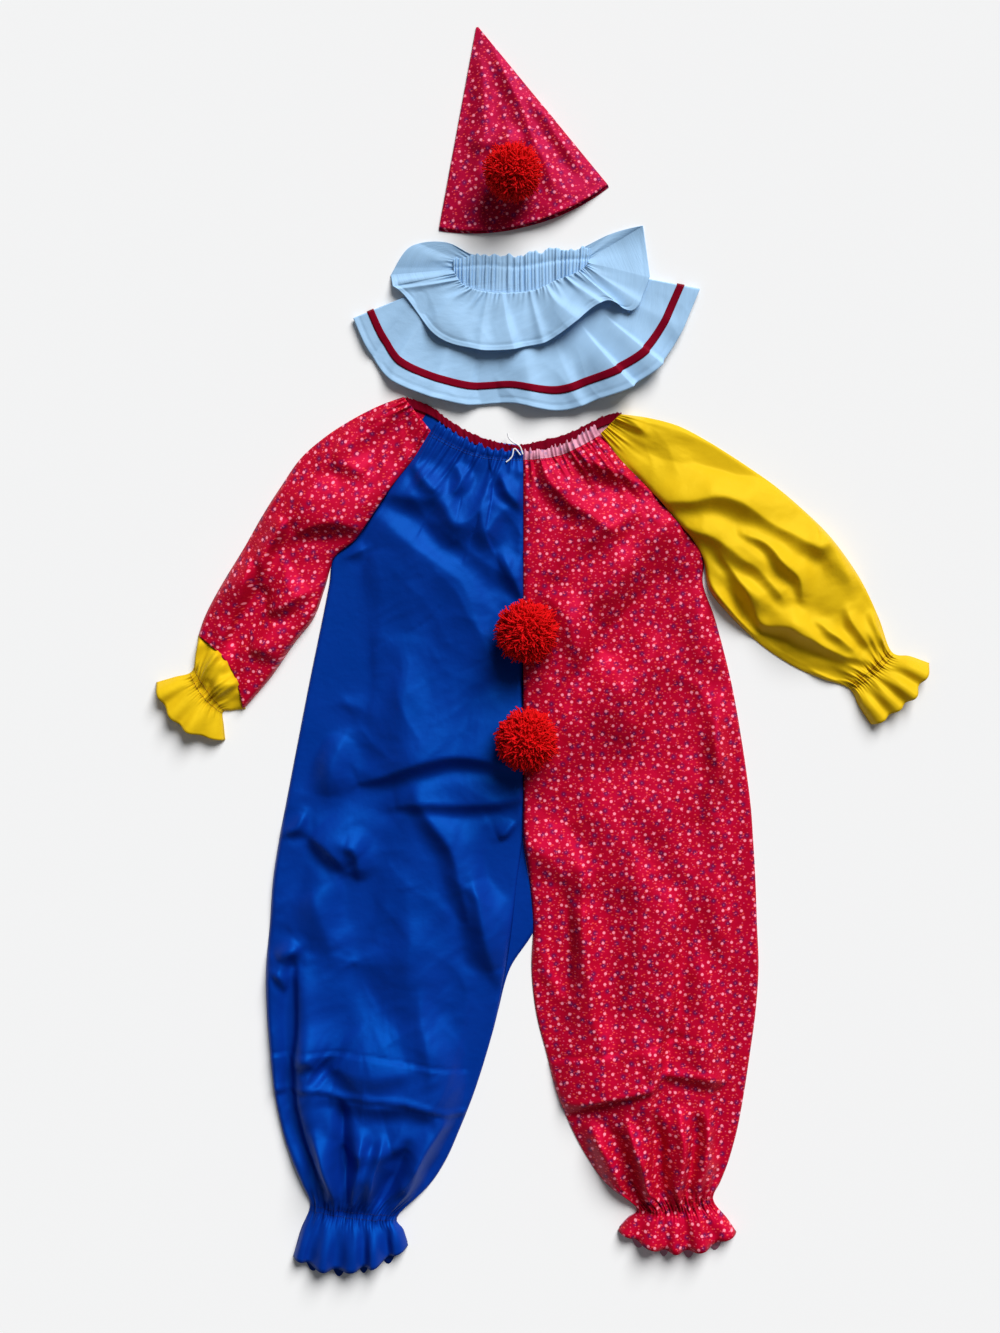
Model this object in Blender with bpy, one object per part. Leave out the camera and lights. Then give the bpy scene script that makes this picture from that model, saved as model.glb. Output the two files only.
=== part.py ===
"""A child's clown costume, laid flat: a two-colour jumpsuit, a two-tier neck ruff and a cone hat.

The costume lies on the XY plane with its underside at Z = 0, the hat towards +Y and the front up.
Sizes in the tables are in millimetres. On the jumpsuit "out" is the distance from the centre-front
seam and "drop" the distance below the front neck, so both halves are described the same way round.
"""

from collections import namedtuple
from math import cos, pi, radians, sin

import bmesh
import bpy
from mathutils import Vector

MM = 0.001

# Driving dimensions, in millimetres
WALL = 1.5           # a front or back panel, one layer with its seam allowances
THIN_WALL = 1.2      # hat, ruff tiers, neckband, casing
GAP = 0.3            # clearance between neighbouring pieces
SEAM = 0.2           # each side of a sewn edge stands back this much from the seam line
CENTRE_X = -25.5     # centre-front seam
NECK_Y = 245.5       # front neck at the centre
UNDER_FRONT = WALL + GAP
FOLD_REACH = 1.6     # how far a folded side sticks out past the edges of its two layers
CASING_WIDTH = 12.0
RUFF_CENTRE = (-29.5, 479.5)
HAT_APEX = (-85.5, 806.5)
HAT_SLANT = 267.0
HAT_ANGLES = (-10.5, 39.4)
HAT_PUFF = 13.0
POMPON_WIDTH = 79.0
HAT_POMPON_WIDTH = 73.0
POMPON_HEIGHT = 62.0
TIE_DIAMETER = 1.8

# Places among the rows of a front table
GATHER_ROW = 1       # the gathering line at the neck; the header stands above it
ARMPIT_ROW = 7       # the raglan seam runs from the gathering line to here
ANKLE_PLEAT_ROW = 19
ELASTIC_ROW = 23
HEM_ROW = 25

BLUE_SIDE = -1
PRINT_SIDE = 1

# A row of a front or back panel runs from its outer edge to its inner edge. "dip" lowers its
# middle, "edge" and "puff" lift its outer edge and its middle, "leg" is 0 on the body, 1 on a leg.
Row = namedtuple("Row", "outer_out outer_drop inner_out inner_drop dip edge puff leg")
FRONT_BLUE = (
    Row(112, -47, 0, -10, 12, 3.0, 2.0, 0.0),
    Row(120, -35, 0, 0, 12, 3.5, 3.0, 0.0),
    Row(143, 2, 0, 24, 6, 4.5, 5.0, 0.0),
    Row(164, 29, 0, 46, 3, 5.5, 6.5, 0.0),
    Row(182, 55, 0, 68, 0, 6.0, 7.5, 0.0),
    Row(199, 81, 0, 90, 0, 6.0, 8.0, 0.0),
    Row(218, 107, 0, 112, 0, 5.0, 8.5, 0.0),
    Row(246, 131, 0, 134, 0, 2.0, 9.0, 0.0),
    Row(252, 165, 0, 165, 0, 0.8, 9.0, 0.0),
    Row(261, 211, 0, 211, 0, 0.5, 9.0, 0.0),
    Row(277, 289, 0, 289, 0, 0.3, 9.0, 0.0),
    Row(292, 366, 0, 366, 0, 0.3, 9.0, 0.1),
    Row(307, 444, 0, 444, 0, 0.3, 9.0, 0.4),
    Row(317, 496, 0.5, 494, 0, 0.3, 9.5, 0.8),
    Row(325, 549, 8, 549, 0, 0.3, 10.0, 1.0),
    Row(329, 606, 14, 606, 0, 0.3, 11.0, 1.0),
    Row(334, 663, 22, 663, 0, 0.3, 11.5, 1.0),
    Row(333, 720, 33, 720, 0, 0.3, 12.0, 1.0),
    Row(329, 772, 47, 772, 0, 0.3, 13.0, 1.0),
    Row(323, 825, 64, 825, 0, 0.3, 14.0, 1.0),
    Row(313, 873, 83, 873, 0, 0.3, 15.0, 1.0),
    Row(300, 913, 101, 913, 0, 0.3, 15.0, 1.0),
    Row(287, 943, 124, 947, 0, 0.3, 12.0, 1.0),
    Row(277, 971, 163, 985, 3, 0.3, 7.0, 1.0),
    Row(289, 1002, 156, 1002, 6, 0.5, 8.0, 1.0),
    Row(299, 1034, 150, 1022, 20, 1.0, 9.0, 1.0),
)
FRONT_PRINT = (
    Row(94, -43, 0, -10, 10, 3.0, 2.0, 0.0),
    Row(100, -31, 0, 2, 10, 3.5, 3.0, 0.0),
    Row(127, 3, 0, 24, 5, 4.5, 5.0, 0.0),
    Row(152, 29, 0, 46, 2, 5.5, 6.5, 0.0),
    Row(176, 55, 0, 68, 0, 6.0, 7.5, 0.0),
    Row(197, 81, 0, 90, 0, 6.0, 8.0, 0.0),
    Row(220, 107, 0, 112, 0, 5.0, 8.5, 0.0),
    Row(234, 133, 0, 134, 0, 2.0, 9.0, 0.0),
    Row(234, 165, 0, 165, 0, 0.8, 9.0, 0.0),
    Row(250, 211, 0, 211, 0, 0.5, 9.0, 0.0),
    Row(270, 289, 0, 289, 0, 0.3, 9.0, 0.0),
    Row(284, 366, 0, 366, 0, 0.3, 9.0, 0.1),
    Row(295, 444, 0, 444, 0, 0.3, 9.0, 0.4),
    Row(299, 496, 0, 494, 0, 0.3, 9.5, 0.8),
    Row(302, 549, 8, 549, 0, 0.3, 10.0, 1.0),
    Row(304, 606, 13, 606, 0, 0.3, 11.0, 1.0),
    Row(306, 663, 11, 663, 0, 0.3, 11.5, 1.0),
    Row(302, 720, 17, 720, 0, 0.3, 12.0, 1.0),
    Row(295, 772, 30, 772, 0, 0.3, 13.0, 1.0),
    Row(287, 825, 44, 825, 0, 0.3, 14.0, 1.0),
    Row(278, 873, 64, 873, 0, 0.3, 15.0, 1.0),
    Row(267, 913, 86, 913, 0, 0.3, 15.0, 1.0),
    Row(257, 939, 110, 945, 0, 0.3, 12.0, 1.0),
    Row(247, 963, 147, 974, 3, 0.3, 7.0, 1.0),
    Row(264, 986, 136, 988, 6, 0.5, 8.0, 1.0),
    Row(276, 1004, 125, 1002, 22, 1.0, 9.0, 1.0),
)

# What a back panel does otherwise than its front: the neck is higher, the crotch juts further in
BackNeck = namedtuple("BackNeck", "outer_out outer_drop inner_out inner_drop dip")
BACK_NECK = {
    BLUE_SIDE: BackNeck(121, -66, 0, -17, 13),
    PRINT_SIDE: BackNeck(114, -56, 0, -17, 8),
}
BackCrotch = namedtuple("BackCrotch", "drop inner_out")
BACK_CROTCH = {
    BLUE_SIDE: (BackCrotch(549, -7), BackCrotch(606, -14), BackCrotch(663, 17)),
    PRINT_SIDE: (BackCrotch(606, 17), BackCrotch(663, 14)),
}

# The largest folds of each front: points (out, drop) along the fold, its half width and rise
Fold = namedtuple("Fold", "name points half_width rise")
FOLDS = {
    BLUE_SIDE: (
        Fold("shoulder zigzag", ((192, 55), (147, 68), (108, 94), (69, 81)), 13, 4.5),
        Fold("from armpit to middle", ((173, 61), (95, 146), (43, 237)), 18, 4.0),
        Fold("upper waist", ((212, 416), (110, 421), (8, 414)), 13, 4.5),
        Fold("lower waist", ((160, 447), (90, 450), (8, 441)), 12, 3.5),
        Fold("side of leg", ((303, 651), (303, 760), (286, 888), (252, 960)), 14, -5.0),
        Fold("inside of leg", ((58, 693), (79, 787), (108, 872), (165, 956)), 15, -5.0),
        Fold("growth tuck", ((316, 832), (210, 838), (80, 850)), 11, 3.5),
    ),
    PRINT_SIDE: (
        Fold("under the neck", ((68, -10), (120, 20), (172, 42)), 13, 3.5),
        Fold("across the chest", ((205, 70), (120, 170), (25, 315)), 22, 4.0),
        Fold("inside of thigh", ((51, 578), (51, 685)), 14, -4.5),
        Fold("middle of leg", ((197, 580), (185, 716), (163, 824), (176, 965)), 14, 5.5),
        Fold("growth tuck, inner", ((52, 838), (117, 831), (160, 820)), 10, 4.0),
        Fold("growth tuck, outer", ((182, 801), (272, 815)), 10, 3.0),
    ),
}
NECK_PLEATS = 4
ANKLE_PLEATS = 4
ANKLE_LOBES = 3.5

# A row of a sleeve goes from its front inner edge out to the fold along its outer edge, and back
# underneath. "bulge" pushes the middle of the row towards the wrist.
SleeveRow = namedtuple("SleeveRow", "outer_out outer_drop inner_out inner_drop bulge puff")
# Beside the raglan seam only the folded outer edge is listed: the inner edge is the seam itself
RAGLAN_OUTER = {
    BLUE_SIDE: ((155, -79), (187, -67), (222, -49), (256, -27), (288, 1), (314, 38), (337, 74)),
    PRINT_SIDE: ((127, -57), (165, -51), (201, -41), (236, -23), (270, -2), (300, 18), (328, 38)),
}
SLEEVE_PRINT = (
    SleeveRow(362, 118, 258, 170, 0, 11.0),
    SleeveRow(386, 157, 272, 208, 2, 11.0),
    SleeveRow(403, 187, 296, 239, 4, 11.0),
    SleeveRow(414, 210, 328, 285, 2, 10.0),
    SleeveRow(421, 231, 363, 326, -14, 9.0),
)
CUFF_YELLOW = (
    SleeveRow(421.5, 231.5, 363.5, 326.5, -14, 9.0),
    SleeveRow(425, 255, 378, 328, 0, 8.0),
    SleeveRow(430, 278, 390, 330, 4, 6.0),
    SleeveRow(452, 285, 389, 347, 12, 8.0),
    SleeveRow(476, 292, 387, 366, 20, 9.0),
)
SLEEVE_YELLOW = (
    SleeveRow(362, 67, 242, 171, 0, 11.0),
    SleeveRow(395, 99, 268, 204, 2, 11.0),
    SleeveRow(422, 134, 306, 240, 2, 11.0),
    SleeveRow(443, 168, 347, 268, 2, 11.0),
    SleeveRow(462, 210, 386, 286, 2, 9.0),
    SleeveRow(478, 252, 423, 299, 2, 6.0),
    SleeveRow(502, 258, 436, 322, 6, 8.0),
    SleeveRow(527, 267, 451, 345, 10, 9.0),
)
WRIST_LOBES = 2.5

# A station of a ruff tier goes from the gathered neck to the hem, both measured from the middle of
# the neck (right, up). "rise" lifts the hem. Front stations run left to right, back ones return.
Station = namedtuple("Station", "neck_x neck_y hem_x hem_y rise")
UPPER_FRONT = (
    Station(-84, 4, -165, -12, 0.5),
    Station(-75, -9, -150, -24, 3.0),
    Station(-57, -17, -104, -78, 4.0),
    Station(-33, -21, -50, -95, 2.0),
    Station(-7, -21, -2, -92, 4.5),
    Station(21, -17, 39, -82, 2.0),
    Station(44, -6, 82, -50, 6.0),
    Station(68, 3, 112, -32, 3.0),
    Station(82, 11, 146, -44, 4.0),
    Station(88, 18, 168, 0, 1.0),
)
UPPER_BACK = (
    Station(88, 24, 160, 68, 0.0),
    Station(72, 26, 116, 56, 0.0),
    Station(40, 22, 62, 31, 0.0),
    Station(0, 19, 0, 27, 0.0),
    Station(-40, 20, -60, 30, 0.0),
    Station(-62, 24, -98, 46, 0.0),
    Station(-78, 20, -142, 40, 0.0),
    Station(-87, 11, -168, 4, 0.0),
)
LOWER_FRONT = (
    Station(-82, 1, -216, -54, 1.5),
    Station(-74, -10, -196, -98, 3.0),
    Station(-62, -15, -172, -128, 1.5),
    Station(-45, -19, -124, -151, 4.0),
    Station(-25, -21, -68, -164, 1.5),
    Station(-5, -21, -13, -163, 3.5),
    Station(16, -18, 49, -172, 2.0),
    Station(34, -12, 96, -160, 5.0),
    Station(50, -4, 140, -143, 2.0),
    Station(64, 1, 180, -115, 5.0),
    Station(76, 7, 207, -74, 2.0),
    Station(84, 13, 233, -16, 2.0),
)
LOWER_BACK = (
    Station(84, 13, 233, -16, 0.0),
    Station(76, 19, 190, -66, 0.0),
    Station(52, 22, 112, -130, 0.0),
    Station(0, 24, 0, -146, 0.0),
    Station(-52, 22, -112, -130, 0.0),
    Station(-74, 14, -184, -88, 0.0),
    Station(-82, 1, -216, -54, 0.0),
)
BAND_FRONT = (
    Station(-80, 0, -79, -8, 0.0),
    Station(-56, -14, -54, -26, 0.0),
    Station(0, -19, 0, -33, 0.0),
    Station(50, -6, 52, -18, 0.0),
    Station(81, 12, 80, 0, 0.0),
)
BAND_BACK = (
    Station(84, 33, 80, 6, 0.0),
    Station(44, 33, 44, -4, 0.0),
    Station(0, 26, 0, -15, 0.0),
    Station(-44, 26, -46, -8, 0.0),
    Station(-80, 20, -79, -2, 0.0),
)
# Undersides of the nested layers at the neck, from the floor up
Z_UPPER_BACK = 0.0
Z_LOWER_BACK = 1.5
Z_BAND_BACK = 3.0
Z_BAND_FRONT = 4.5
Z_LOWER_FRONT = 6.0
Z_UPPER_FRONT = 7.5
RIBBON = (0.80, 0.865)     # from neck to hem, where the ribbon starts and ends
RIBBON_THICKNESS = 0.9

# The two free ends of the neck drawstring: out to the right of the seam, up from the front neck
TIE_HEIGHT = 9.3
TIE_LEFT = ((-3.5, 3), (-6.5, 7), (-10, 11), (-12.5, 10.5), (-13, 6), (-14.5, 1), (-18, -3),
            (-22, -6))
TIE_RIGHT = ((-0.5, 4), (-2, 9), (-4, 14), (-8, 17), (-12, 19), (-16, 22), (-19, 26), (-20, 31))

COLOURS = {
    "blue": (0.003, 0.046, 0.40),
    "yellow": (0.75, 0.50, 0.006),
    "print": (0.55, 0.003, 0.022),
    "white": (0.56, 0.72, 0.84),
    "dark_red": (0.17, 0.002, 0.014),
    "yarn": (0.58, 0.006, 0.004),
    "tie": (0.80, 0.80, 0.82),
}


def material(name, colour, roughness=0.8):
    """A cloth material of one piece."""
    made = bpy.data.materials.new(name)
    made.use_nodes = True
    shader = made.node_tree.nodes["Principled BSDF"]
    shader.inputs["Base Color"].default_value = (*colour, 1.0)
    shader.inputs["Roughness"].default_value = roughness
    shader.inputs["Metallic"].default_value = 0.0
    return made


def smooth_step(x):
    x = min(max(x, 0.0), 1.0)
    return x * x * (3.0 - 2.0 * x)


def between(rows, where):
    """The row at a place between listed rows, on a smooth curve through them."""
    last = len(rows) - 1
    first = min(int(where), last - 1)
    t = where - first
    a, b, c, d = (rows[min(max(first + k, 0), last)] for k in (-1, 0, 1, 2))
    return [
        q + 0.5 * t * (r - p + t * (2 * p - 5 * q + 4 * r - s + t * (3 * (q - r) + s - p)))
        for p, q, r, s in zip(a, b, c, d)
    ]


def named(kind, rows, where):
    return kind(*between(rows, where))


def on_suit(side, out, drop):
    """X and Y of a place on the jumpsuit."""
    return CENTRE_X + side * out, NECK_Y - drop


def distance_along(points, x, y):
    """Distance of a place from a line through points, and how far along the line it is, 0 to 1."""
    here = Vector((x, y))
    best = (1e9, 0.0)
    for index, (start, end) in enumerate(zip(points, points[1:])):
        start, end = Vector(start), Vector(end)
        span = end - start
        t = min(max((here - start).dot(span) / span.length_squared, 0.0), 1.0)
        best = min(best, ((here - start - t * span).length, (index + t) / (len(points) - 1)))
    return best


def fold_height(side, out, drop):
    """What the folds of a front add to its height: each dies away sideways and at its ends."""
    height = 0.0
    for fold in FOLDS[side]:
        away, along = distance_along(fold.points, out, drop)
        height += fold.rise * 2.0 ** (-((away / fold.half_width) ** 2)) * sin(pi * (0.1 + 0.8 * along))
    return height


def finish(bm, name, colour):
    """Make an object of a closed mesh, with its faces turned outwards."""
    bmesh.ops.recalc_face_normals(bm, faces=bm.faces)
    if bm.calc_volume(signed=True) < 0.0:
        bmesh.ops.reverse_faces(bm, faces=bm.faces)
    mesh = bpy.data.meshes.new(name)
    bm.to_mesh(mesh)
    bm.free()
    mesh.shade_smooth()
    mesh.set_sharp_from_angle(angle=radians(40))
    piece = bpy.data.objects.new(name, mesh)
    piece.data.materials.append(material(name, COLOURS[colour]))
    COSTUME.objects.link(piece)
    return piece


def cloth(name, colour, sections, closed=False, point_end=False):
    """A wall of cloth. Each section is a list of (outer face, inner face) pairs of points, in mm.

    A closed wall joins its last pair to its first, and a point end draws the first section together.
    """
    rows = len(sections)
    across = len(sections[0])
    bm = bmesh.new()
    bmesh.ops.create_grid(bm, x_segments=across - 1, y_segments=rows - 1, size=0.5)
    bm.verts.ensure_lookup_table()
    place = bm.verts.layers.int.new("place")
    for vert in bm.verts:
        column = round((vert.co.x + 0.5) * (across - 1))
        row = round((vert.co.y + 0.5) * (rows - 1))
        vert[place] = row * across + column
        vert.co = Vector(sections[row][column][0]) * MM
    if closed:
        first = {v[place] // across: v for v in bm.verts if v[place] % across == 0}
        last = [v for v in bm.verts if v[place] % across == across - 1]
        bmesh.ops.weld_verts(bm, targetmap={v: first[v[place] // across] for v in last})
    if point_end:
        end = [v for v in bm.verts if v[place] < across]
        bmesh.ops.pointmerge(bm, verts=end, merge_co=Vector(sections[0][0][0]) * MM)
    made = bmesh.ops.extrude_face_region(bm, geom=list(bm.faces), use_keep_orig=True)
    for vert in made["geom"]:
        if isinstance(vert, bmesh.types.BMVert):
            row, column = divmod(vert[place], across)
            vert.co = Vector(sections[row][column][1]) * MM
    return finish(bm, name, colour)


def raised(x, y, under, thickness):
    """A pair of points, upper and lower face, of cloth lying face up."""
    return (x, y, under + thickness), (x, y, under)


def body_profile(leg, u):
    """How full a panel is across its width: a body rises to the centre seam, a leg has two sides."""
    return (1.0 - leg) * sin(pi * 0.5 * u) ** 0.6 + leg * max(sin(pi * u), 0.0) ** 0.6


def front_lift(side, row, u, out, drop, where):
    """Height of a front's underside above the panel it lies on."""
    lift = row.edge * (1.0 - u) * (1.0 - row.leg) + row.puff * body_profile(row.leg, u)
    lift += fold_height(side, out, drop)
    neck = smooth_step(1.0 - (where - GATHER_ROW) / 3.0)
    lift += 1.4 * neck * cos(2.0 * pi * NECK_PLEATS * u)
    ankle = smooth_step((where - ANKLE_PLEAT_ROW) / 4.0) * smooth_step((HEM_ROW + 0.5 - where) / 1.5)
    lift += 1.8 * ankle * cos(2.0 * pi * ANKLE_PLEATS * u)
    hem = smooth_step((where - ELASTIC_ROW) / 2.0)
    lift += 3.0 * hem * cos(2.0 * pi * ANKLE_LOBES * u)
    clear_of_casing = 1.6 * smooth_step(2.0 - where)
    return max(lift, clear_of_casing, 0.0)


def front(name, colour, side, table):
    """A front with its leg, from the gathered neck down to the ankle ruffle."""
    across = 16
    sections = []
    for where, row in enumerate(table):
        hem = smooth_step((where - ELASTIC_ROW) / 2.0)
        section = []
        for column in range(across + 1):
            u = column / across
            out = row.outer_out + (row.inner_out - row.outer_out) * u
            out += SEAM * (1.0 - 2.0 * (1.0 - u)) if row.leg < 0.9 else 0.0
            drop = row.outer_drop + (row.inner_drop - row.outer_drop) * u
            drop += row.dip * sin(pi * u) + 5.0 * hem * cos(2.0 * pi * ANKLE_LOBES * u)
            under = UNDER_FRONT + front_lift(side, row, u, out, drop, where)
            section.append(raised(*on_suit(side, out, drop), under, WALL))
        sections.append(section)
    return cloth(name, colour, sections)


def back(name, colour, side, table):
    """A back with its leg, flat on the floor under the front."""
    across = 4
    neck = BACK_NECK[side]
    crotch = {row.drop: row.inner_out for row in BACK_CROTCH[side]}
    sections = []
    for where, row in enumerate(table[GATHER_ROW:], GATHER_ROW):
        inner_out = crotch.get(row.inner_drop, row.inner_out)
        outer_out, outer_drop, inner_drop, dip = row.outer_out, row.outer_drop, row.inner_drop, row.dip
        if where < ARMPIT_ROW:
            share = smooth_step((where - GATHER_ROW) / (ARMPIT_ROW - GATHER_ROW))
            outer_out, outer_drop = back_raglan(side, table, where)
            inner_drop = neck.inner_drop + (table[ARMPIT_ROW].inner_drop - neck.inner_drop) * share
            dip = neck.dip * (1.0 - share)
        hem = smooth_step((where - ELASTIC_ROW) / 2.0)
        section = []
        for column in range(across + 1):
            u = column / across
            out = outer_out + (inner_out - outer_out) * u + SEAM * (2.0 * u - 1.0)
            drop = outer_drop + (inner_drop - outer_drop) * u + dip * sin(pi * u)
            drop -= 4.0 * hem
            section.append(raised(*on_suit(side, out, drop), 0.0, WALL))
        sections.append(section)
    return cloth(name, colour, sections)


def back_raglan(side, table, where):
    """The raglan seam of the back, at the same rows as that of the front (out, drop)."""
    top = BACK_NECK[side]
    armpit = table[ARMPIT_ROW]
    share = (where - GATHER_ROW) / (ARMPIT_ROW - GATHER_ROW)
    return (
        top.outer_out + (armpit.outer_out - top.outer_out) * share,
        top.outer_drop + (armpit.outer_drop - top.outer_drop) * share,
    )


def folded_section(side, outer, front_edge, back_edge, bulge, height, across=7):
    """One section of a sleeve: the front layer, the fold at the outer edge, the back layer."""
    outer, front_edge, back_edge = Vector(outer), Vector(front_edge), Vector(back_edge)
    outward = (outer - back_edge).normalized()
    to_wrist = Vector((-outward.y, outward.x))
    if to_wrist.y < 0:
        to_wrist.negate()
    section = []
    for column in range(across + 1):
        u = column / across
        spot = front_edge.lerp(outer, u) + to_wrist * bulge * sin(pi * u)
        section.append(raised(*on_suit(side, *spot), UNDER_FRONT + height(u, *spot), WALL))
    fold = outer + outward * 1.0
    inside = outer - outward * 0.8
    middle = UNDER_FRONT - GAP / 2.0
    section.append(((*on_suit(side, *fold), middle), (*on_suit(side, *inside), middle)))
    for column in range(across, -1, -2):
        u = column / across
        spot = back_edge.lerp(outer, u) + to_wrist * bulge * sin(pi * u)
        x, y = on_suit(side, *spot)
        section.append(((x, y, 0.0), (x, y, WALL)))
    x, y = on_suit(side, *back_edge)
    if section[-1][0] != (x, y, 0.0):
        section.append(((x, y, 0.0), (x, y, WALL)))
    return section


def sleeve_height(edge, puff, pleats=0.0, lobes=0.0):
    """The height of a sleeve's front layer, from its inner edge (u = 0) to its fold (u = 1)."""

    def height(u, *_spot):
        lift = edge * (1.0 - u) + puff * max(sin(pi * u), 0.0) ** 0.6
        lift += pleats * 1.5 * sin(pi * u) * cos(6.0 * pi * u)
        lift += lobes * 3.0 * sin(pi * u) * cos(2.0 * pi * WRIST_LOBES * u)
        return max(lift, 0.0)

    return height


def sleeve_sections(side, rows, elastic):
    """Sections below the armpit. The rows near the elastic are pleated, those past it fluted."""
    sections = []
    for index, row in enumerate(rows):
        pleats = smooth_step(1.0 - abs(index - elastic) / 2.0)
        lobes = smooth_step((index - elastic) / 2.0)
        sections.append(
            folded_section(
                side,
                (row.outer_out, row.outer_drop),
                (row.inner_out, row.inner_drop),
                (row.inner_out, row.inner_drop),
                row.bulge,
                sleeve_height(0.0, row.puff, pleats, lobes),
            )
        )
    return sections


def raglan_sections(side, table):
    """Sections beside the raglan seam, which share the rows of the front that it is sewn to."""
    sections = []
    for index, outer in enumerate(RAGLAN_OUTER[side]):
        where = index + GATHER_ROW
        row = table[where]
        back_out, back_drop = back_raglan(side, table, where)
        puff = 2.0 + 9.0 * smooth_step(index / 4.0)
        edge = row.edge + body_edge_fold(side, row)
        sections.append(
            folded_section(
                side,
                outer,
                (row.outer_out + SEAM, row.outer_drop),
                (back_out + SEAM, back_drop),
                0.0,
                sleeve_height(edge, puff, pleats=smooth_step(1.0 - index / 2.0)),
            )
        )
    return sections


def body_edge_fold(side, row):
    """Folds of the front that run over the raglan seam lift the sleeve's edge as well."""
    return max(fold_height(side, row.outer_out, row.outer_drop), 0.0)


def ring(name, colour, front_rows, back_rows, under_front, under_back, steps,
         flutes=0.0, span=(0.0, 1.0), trim=0.0, spread=False):
    """A tier of the ruff: one flattened ring, its front half above its back half.

    steps is (from neck to hem, along the front, along the back); span picks a band between neck (0)
    and hem (1). A trim is that thick, and lies on the outside of the tier, made from its points.
    A tier that is spread has its back half turned up behind the neck, so the same face shows there.
    """
    down, along_front, along_back = steps
    thickness = trim or THIN_WALL
    above = THIN_WALL + GAP if trim else 0.0
    below = trim + GAP if trim else 0.0
    sections = []
    for level in range(down + 1):
        t = span[0] + (span[1] - span[0]) * level / down
        loop = []
        for step in range(along_front + 1):
            where = step * (len(front_rows) - 1) / along_front
            row = named(Station, front_rows, where)
            inside = max(sin(pi * step / along_front), 0.0) ** 0.5
            free = smooth_step((t - 0.35) / 0.65)
            rise = row.rise * free * inside + 2.0 * flutes * free * inside * (1.0 + cos(pi * step))
            under = under_front + rise + above
            loop.append(((*ring_spot(row, t), under + thickness), (*ring_spot(row, t), under)))
        middle = (under_front + under_back + THIN_WALL) / 2.0
        loop.append(ring_side(front_rows[-1], back_rows[0], t, middle, thickness, below, spread))
        for step in range(along_back + 1):
            where = step * (len(back_rows) - 1) / along_back
            row = named(Station, back_rows, where)
            low = under_back - below
            pair = (*ring_spot(row, t), low), (*ring_spot(row, t), low + thickness)
            loop.append(pair[::-1] if spread else pair)
        loop.append(ring_side(back_rows[-1], front_rows[0], t, middle, thickness, below, spread))
        loop.append(loop[0])
        sections.append(loop)
    return cloth(name, colour, sections, closed=True)


def ring_spot(row, t):
    """X and Y of a place on a ruff tier, t of the way from its neck to its hem."""
    return (
        RUFF_CENTRE[0] + row.neck_x + (row.hem_x - row.neck_x) * t,
        RUFF_CENTRE[1] + row.neck_y + (row.hem_y - row.neck_y) * t,
    )


def ring_side(first, second, t, height, thickness, clear, spread):
    """The line halfway from a ring's front half to its back half: a fold, or a slope if spread."""
    middle = (Vector(ring_spot(first, t)) + Vector(ring_spot(second, t))) / 2.0
    if spread:
        return (*middle, height + thickness / 2.0), (*middle, height - thickness / 2.0)
    down = Vector(ring_spot(first, 1.0)) - Vector(ring_spot(first, 0.0))
    outward = Vector((-down.y, down.x)).normalized()
    if outward.x * (middle.x - RUFF_CENTRE[0]) < 0.0:
        outward.negate()
    outside = middle + outward * (FOLD_REACH + clear)
    inside = outside - outward * thickness
    return (*outside, height), (*inside, height)


def hat():
    """The cone, pressed flat: two layers joined along both sides, open at the brim."""
    down, across = 9, 12
    sections = []
    for level in range(down + 1):
        reach = max(level / down, 0.012)
        loop = []
        for column in range(across + 1):
            u = column / across
            lift = HAT_PUFF * reach * sin(pi * u) ** 0.7 + hat_crease(u, reach)
            lift = lift * smooth_step(reach * 4.0)
            x, y = hat_spot(u, reach)
            loop.append(raised(x, y, THIN_WALL + GAP + lift, THIN_WALL))
        loop.append(hat_side(1.0, reach, 1))
        for column in range(across, -1, -2):
            x, y = hat_spot(column / across, reach)
            loop.append(((x, y, 0.0), (x, y, THIN_WALL)))
        loop.append(hat_side(0.0, reach, -1))
        loop.append(loop[0])
        sections.append(loop)
    tip = (HAT_APEX[0], HAT_APEX[1], THIN_WALL + GAP)
    sections[0] = [(tip, (tip[0], tip[1] - 9.0, tip[2] - 0.2))] * len(sections[0])
    return cloth("hat_cone", "print", sections, closed=True, point_end=True)


def hat_spot(u, reach):
    angle = radians(HAT_ANGLES[0] + (HAT_ANGLES[1] - HAT_ANGLES[0]) * u)
    return (
        HAT_APEX[0] + sin(angle) * HAT_SLANT * reach,
        HAT_APEX[1] - cos(angle) * HAT_SLANT * reach,
    )


def hat_side(u, reach, direction):
    """The folded side of the hat at one section."""
    x, y = hat_spot(u, reach)
    angle = radians(HAT_ANGLES[0] + (HAT_ANGLES[1] - HAT_ANGLES[0]) * u)
    outward = Vector((cos(angle), sin(angle))) * direction
    middle = THIN_WALL + GAP / 2.0
    outside = Vector((x, y)) + outward * 0.9
    inside = outside - outward * THIN_WALL
    return (*outside, middle), (*inside, middle)


def hat_crease(u, reach):
    """The sharp ridge that runs from the tip to the brim."""
    return 4.0 * reach * 2.0 ** (-(((u - 0.72) / 0.07) ** 2))


def casing():
    """The dark tape inside the back neck."""
    along = 14
    sections = []
    for step in range(along + 1):
        across = 2.0 * step / along - 1.0
        side = BLUE_SIDE if across < 0 else PRINT_SIDE
        neck = BACK_NECK[side]
        share = abs(across) * 0.97
        out = neck.outer_out * share
        drop = neck.inner_drop + (neck.outer_drop - neck.inner_drop) * share
        drop += neck.dip * sin(pi * share) + 0.6
        top = raised(*on_suit(side, out, drop), UNDER_FRONT, THIN_WALL)
        low = raised(*on_suit(side, out * 0.985, drop + CASING_WIDTH), UNDER_FRONT, THIN_WALL)
        sections.append([top, low])
    return cloth("neck_casing", "dark_red", sections)


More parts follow.
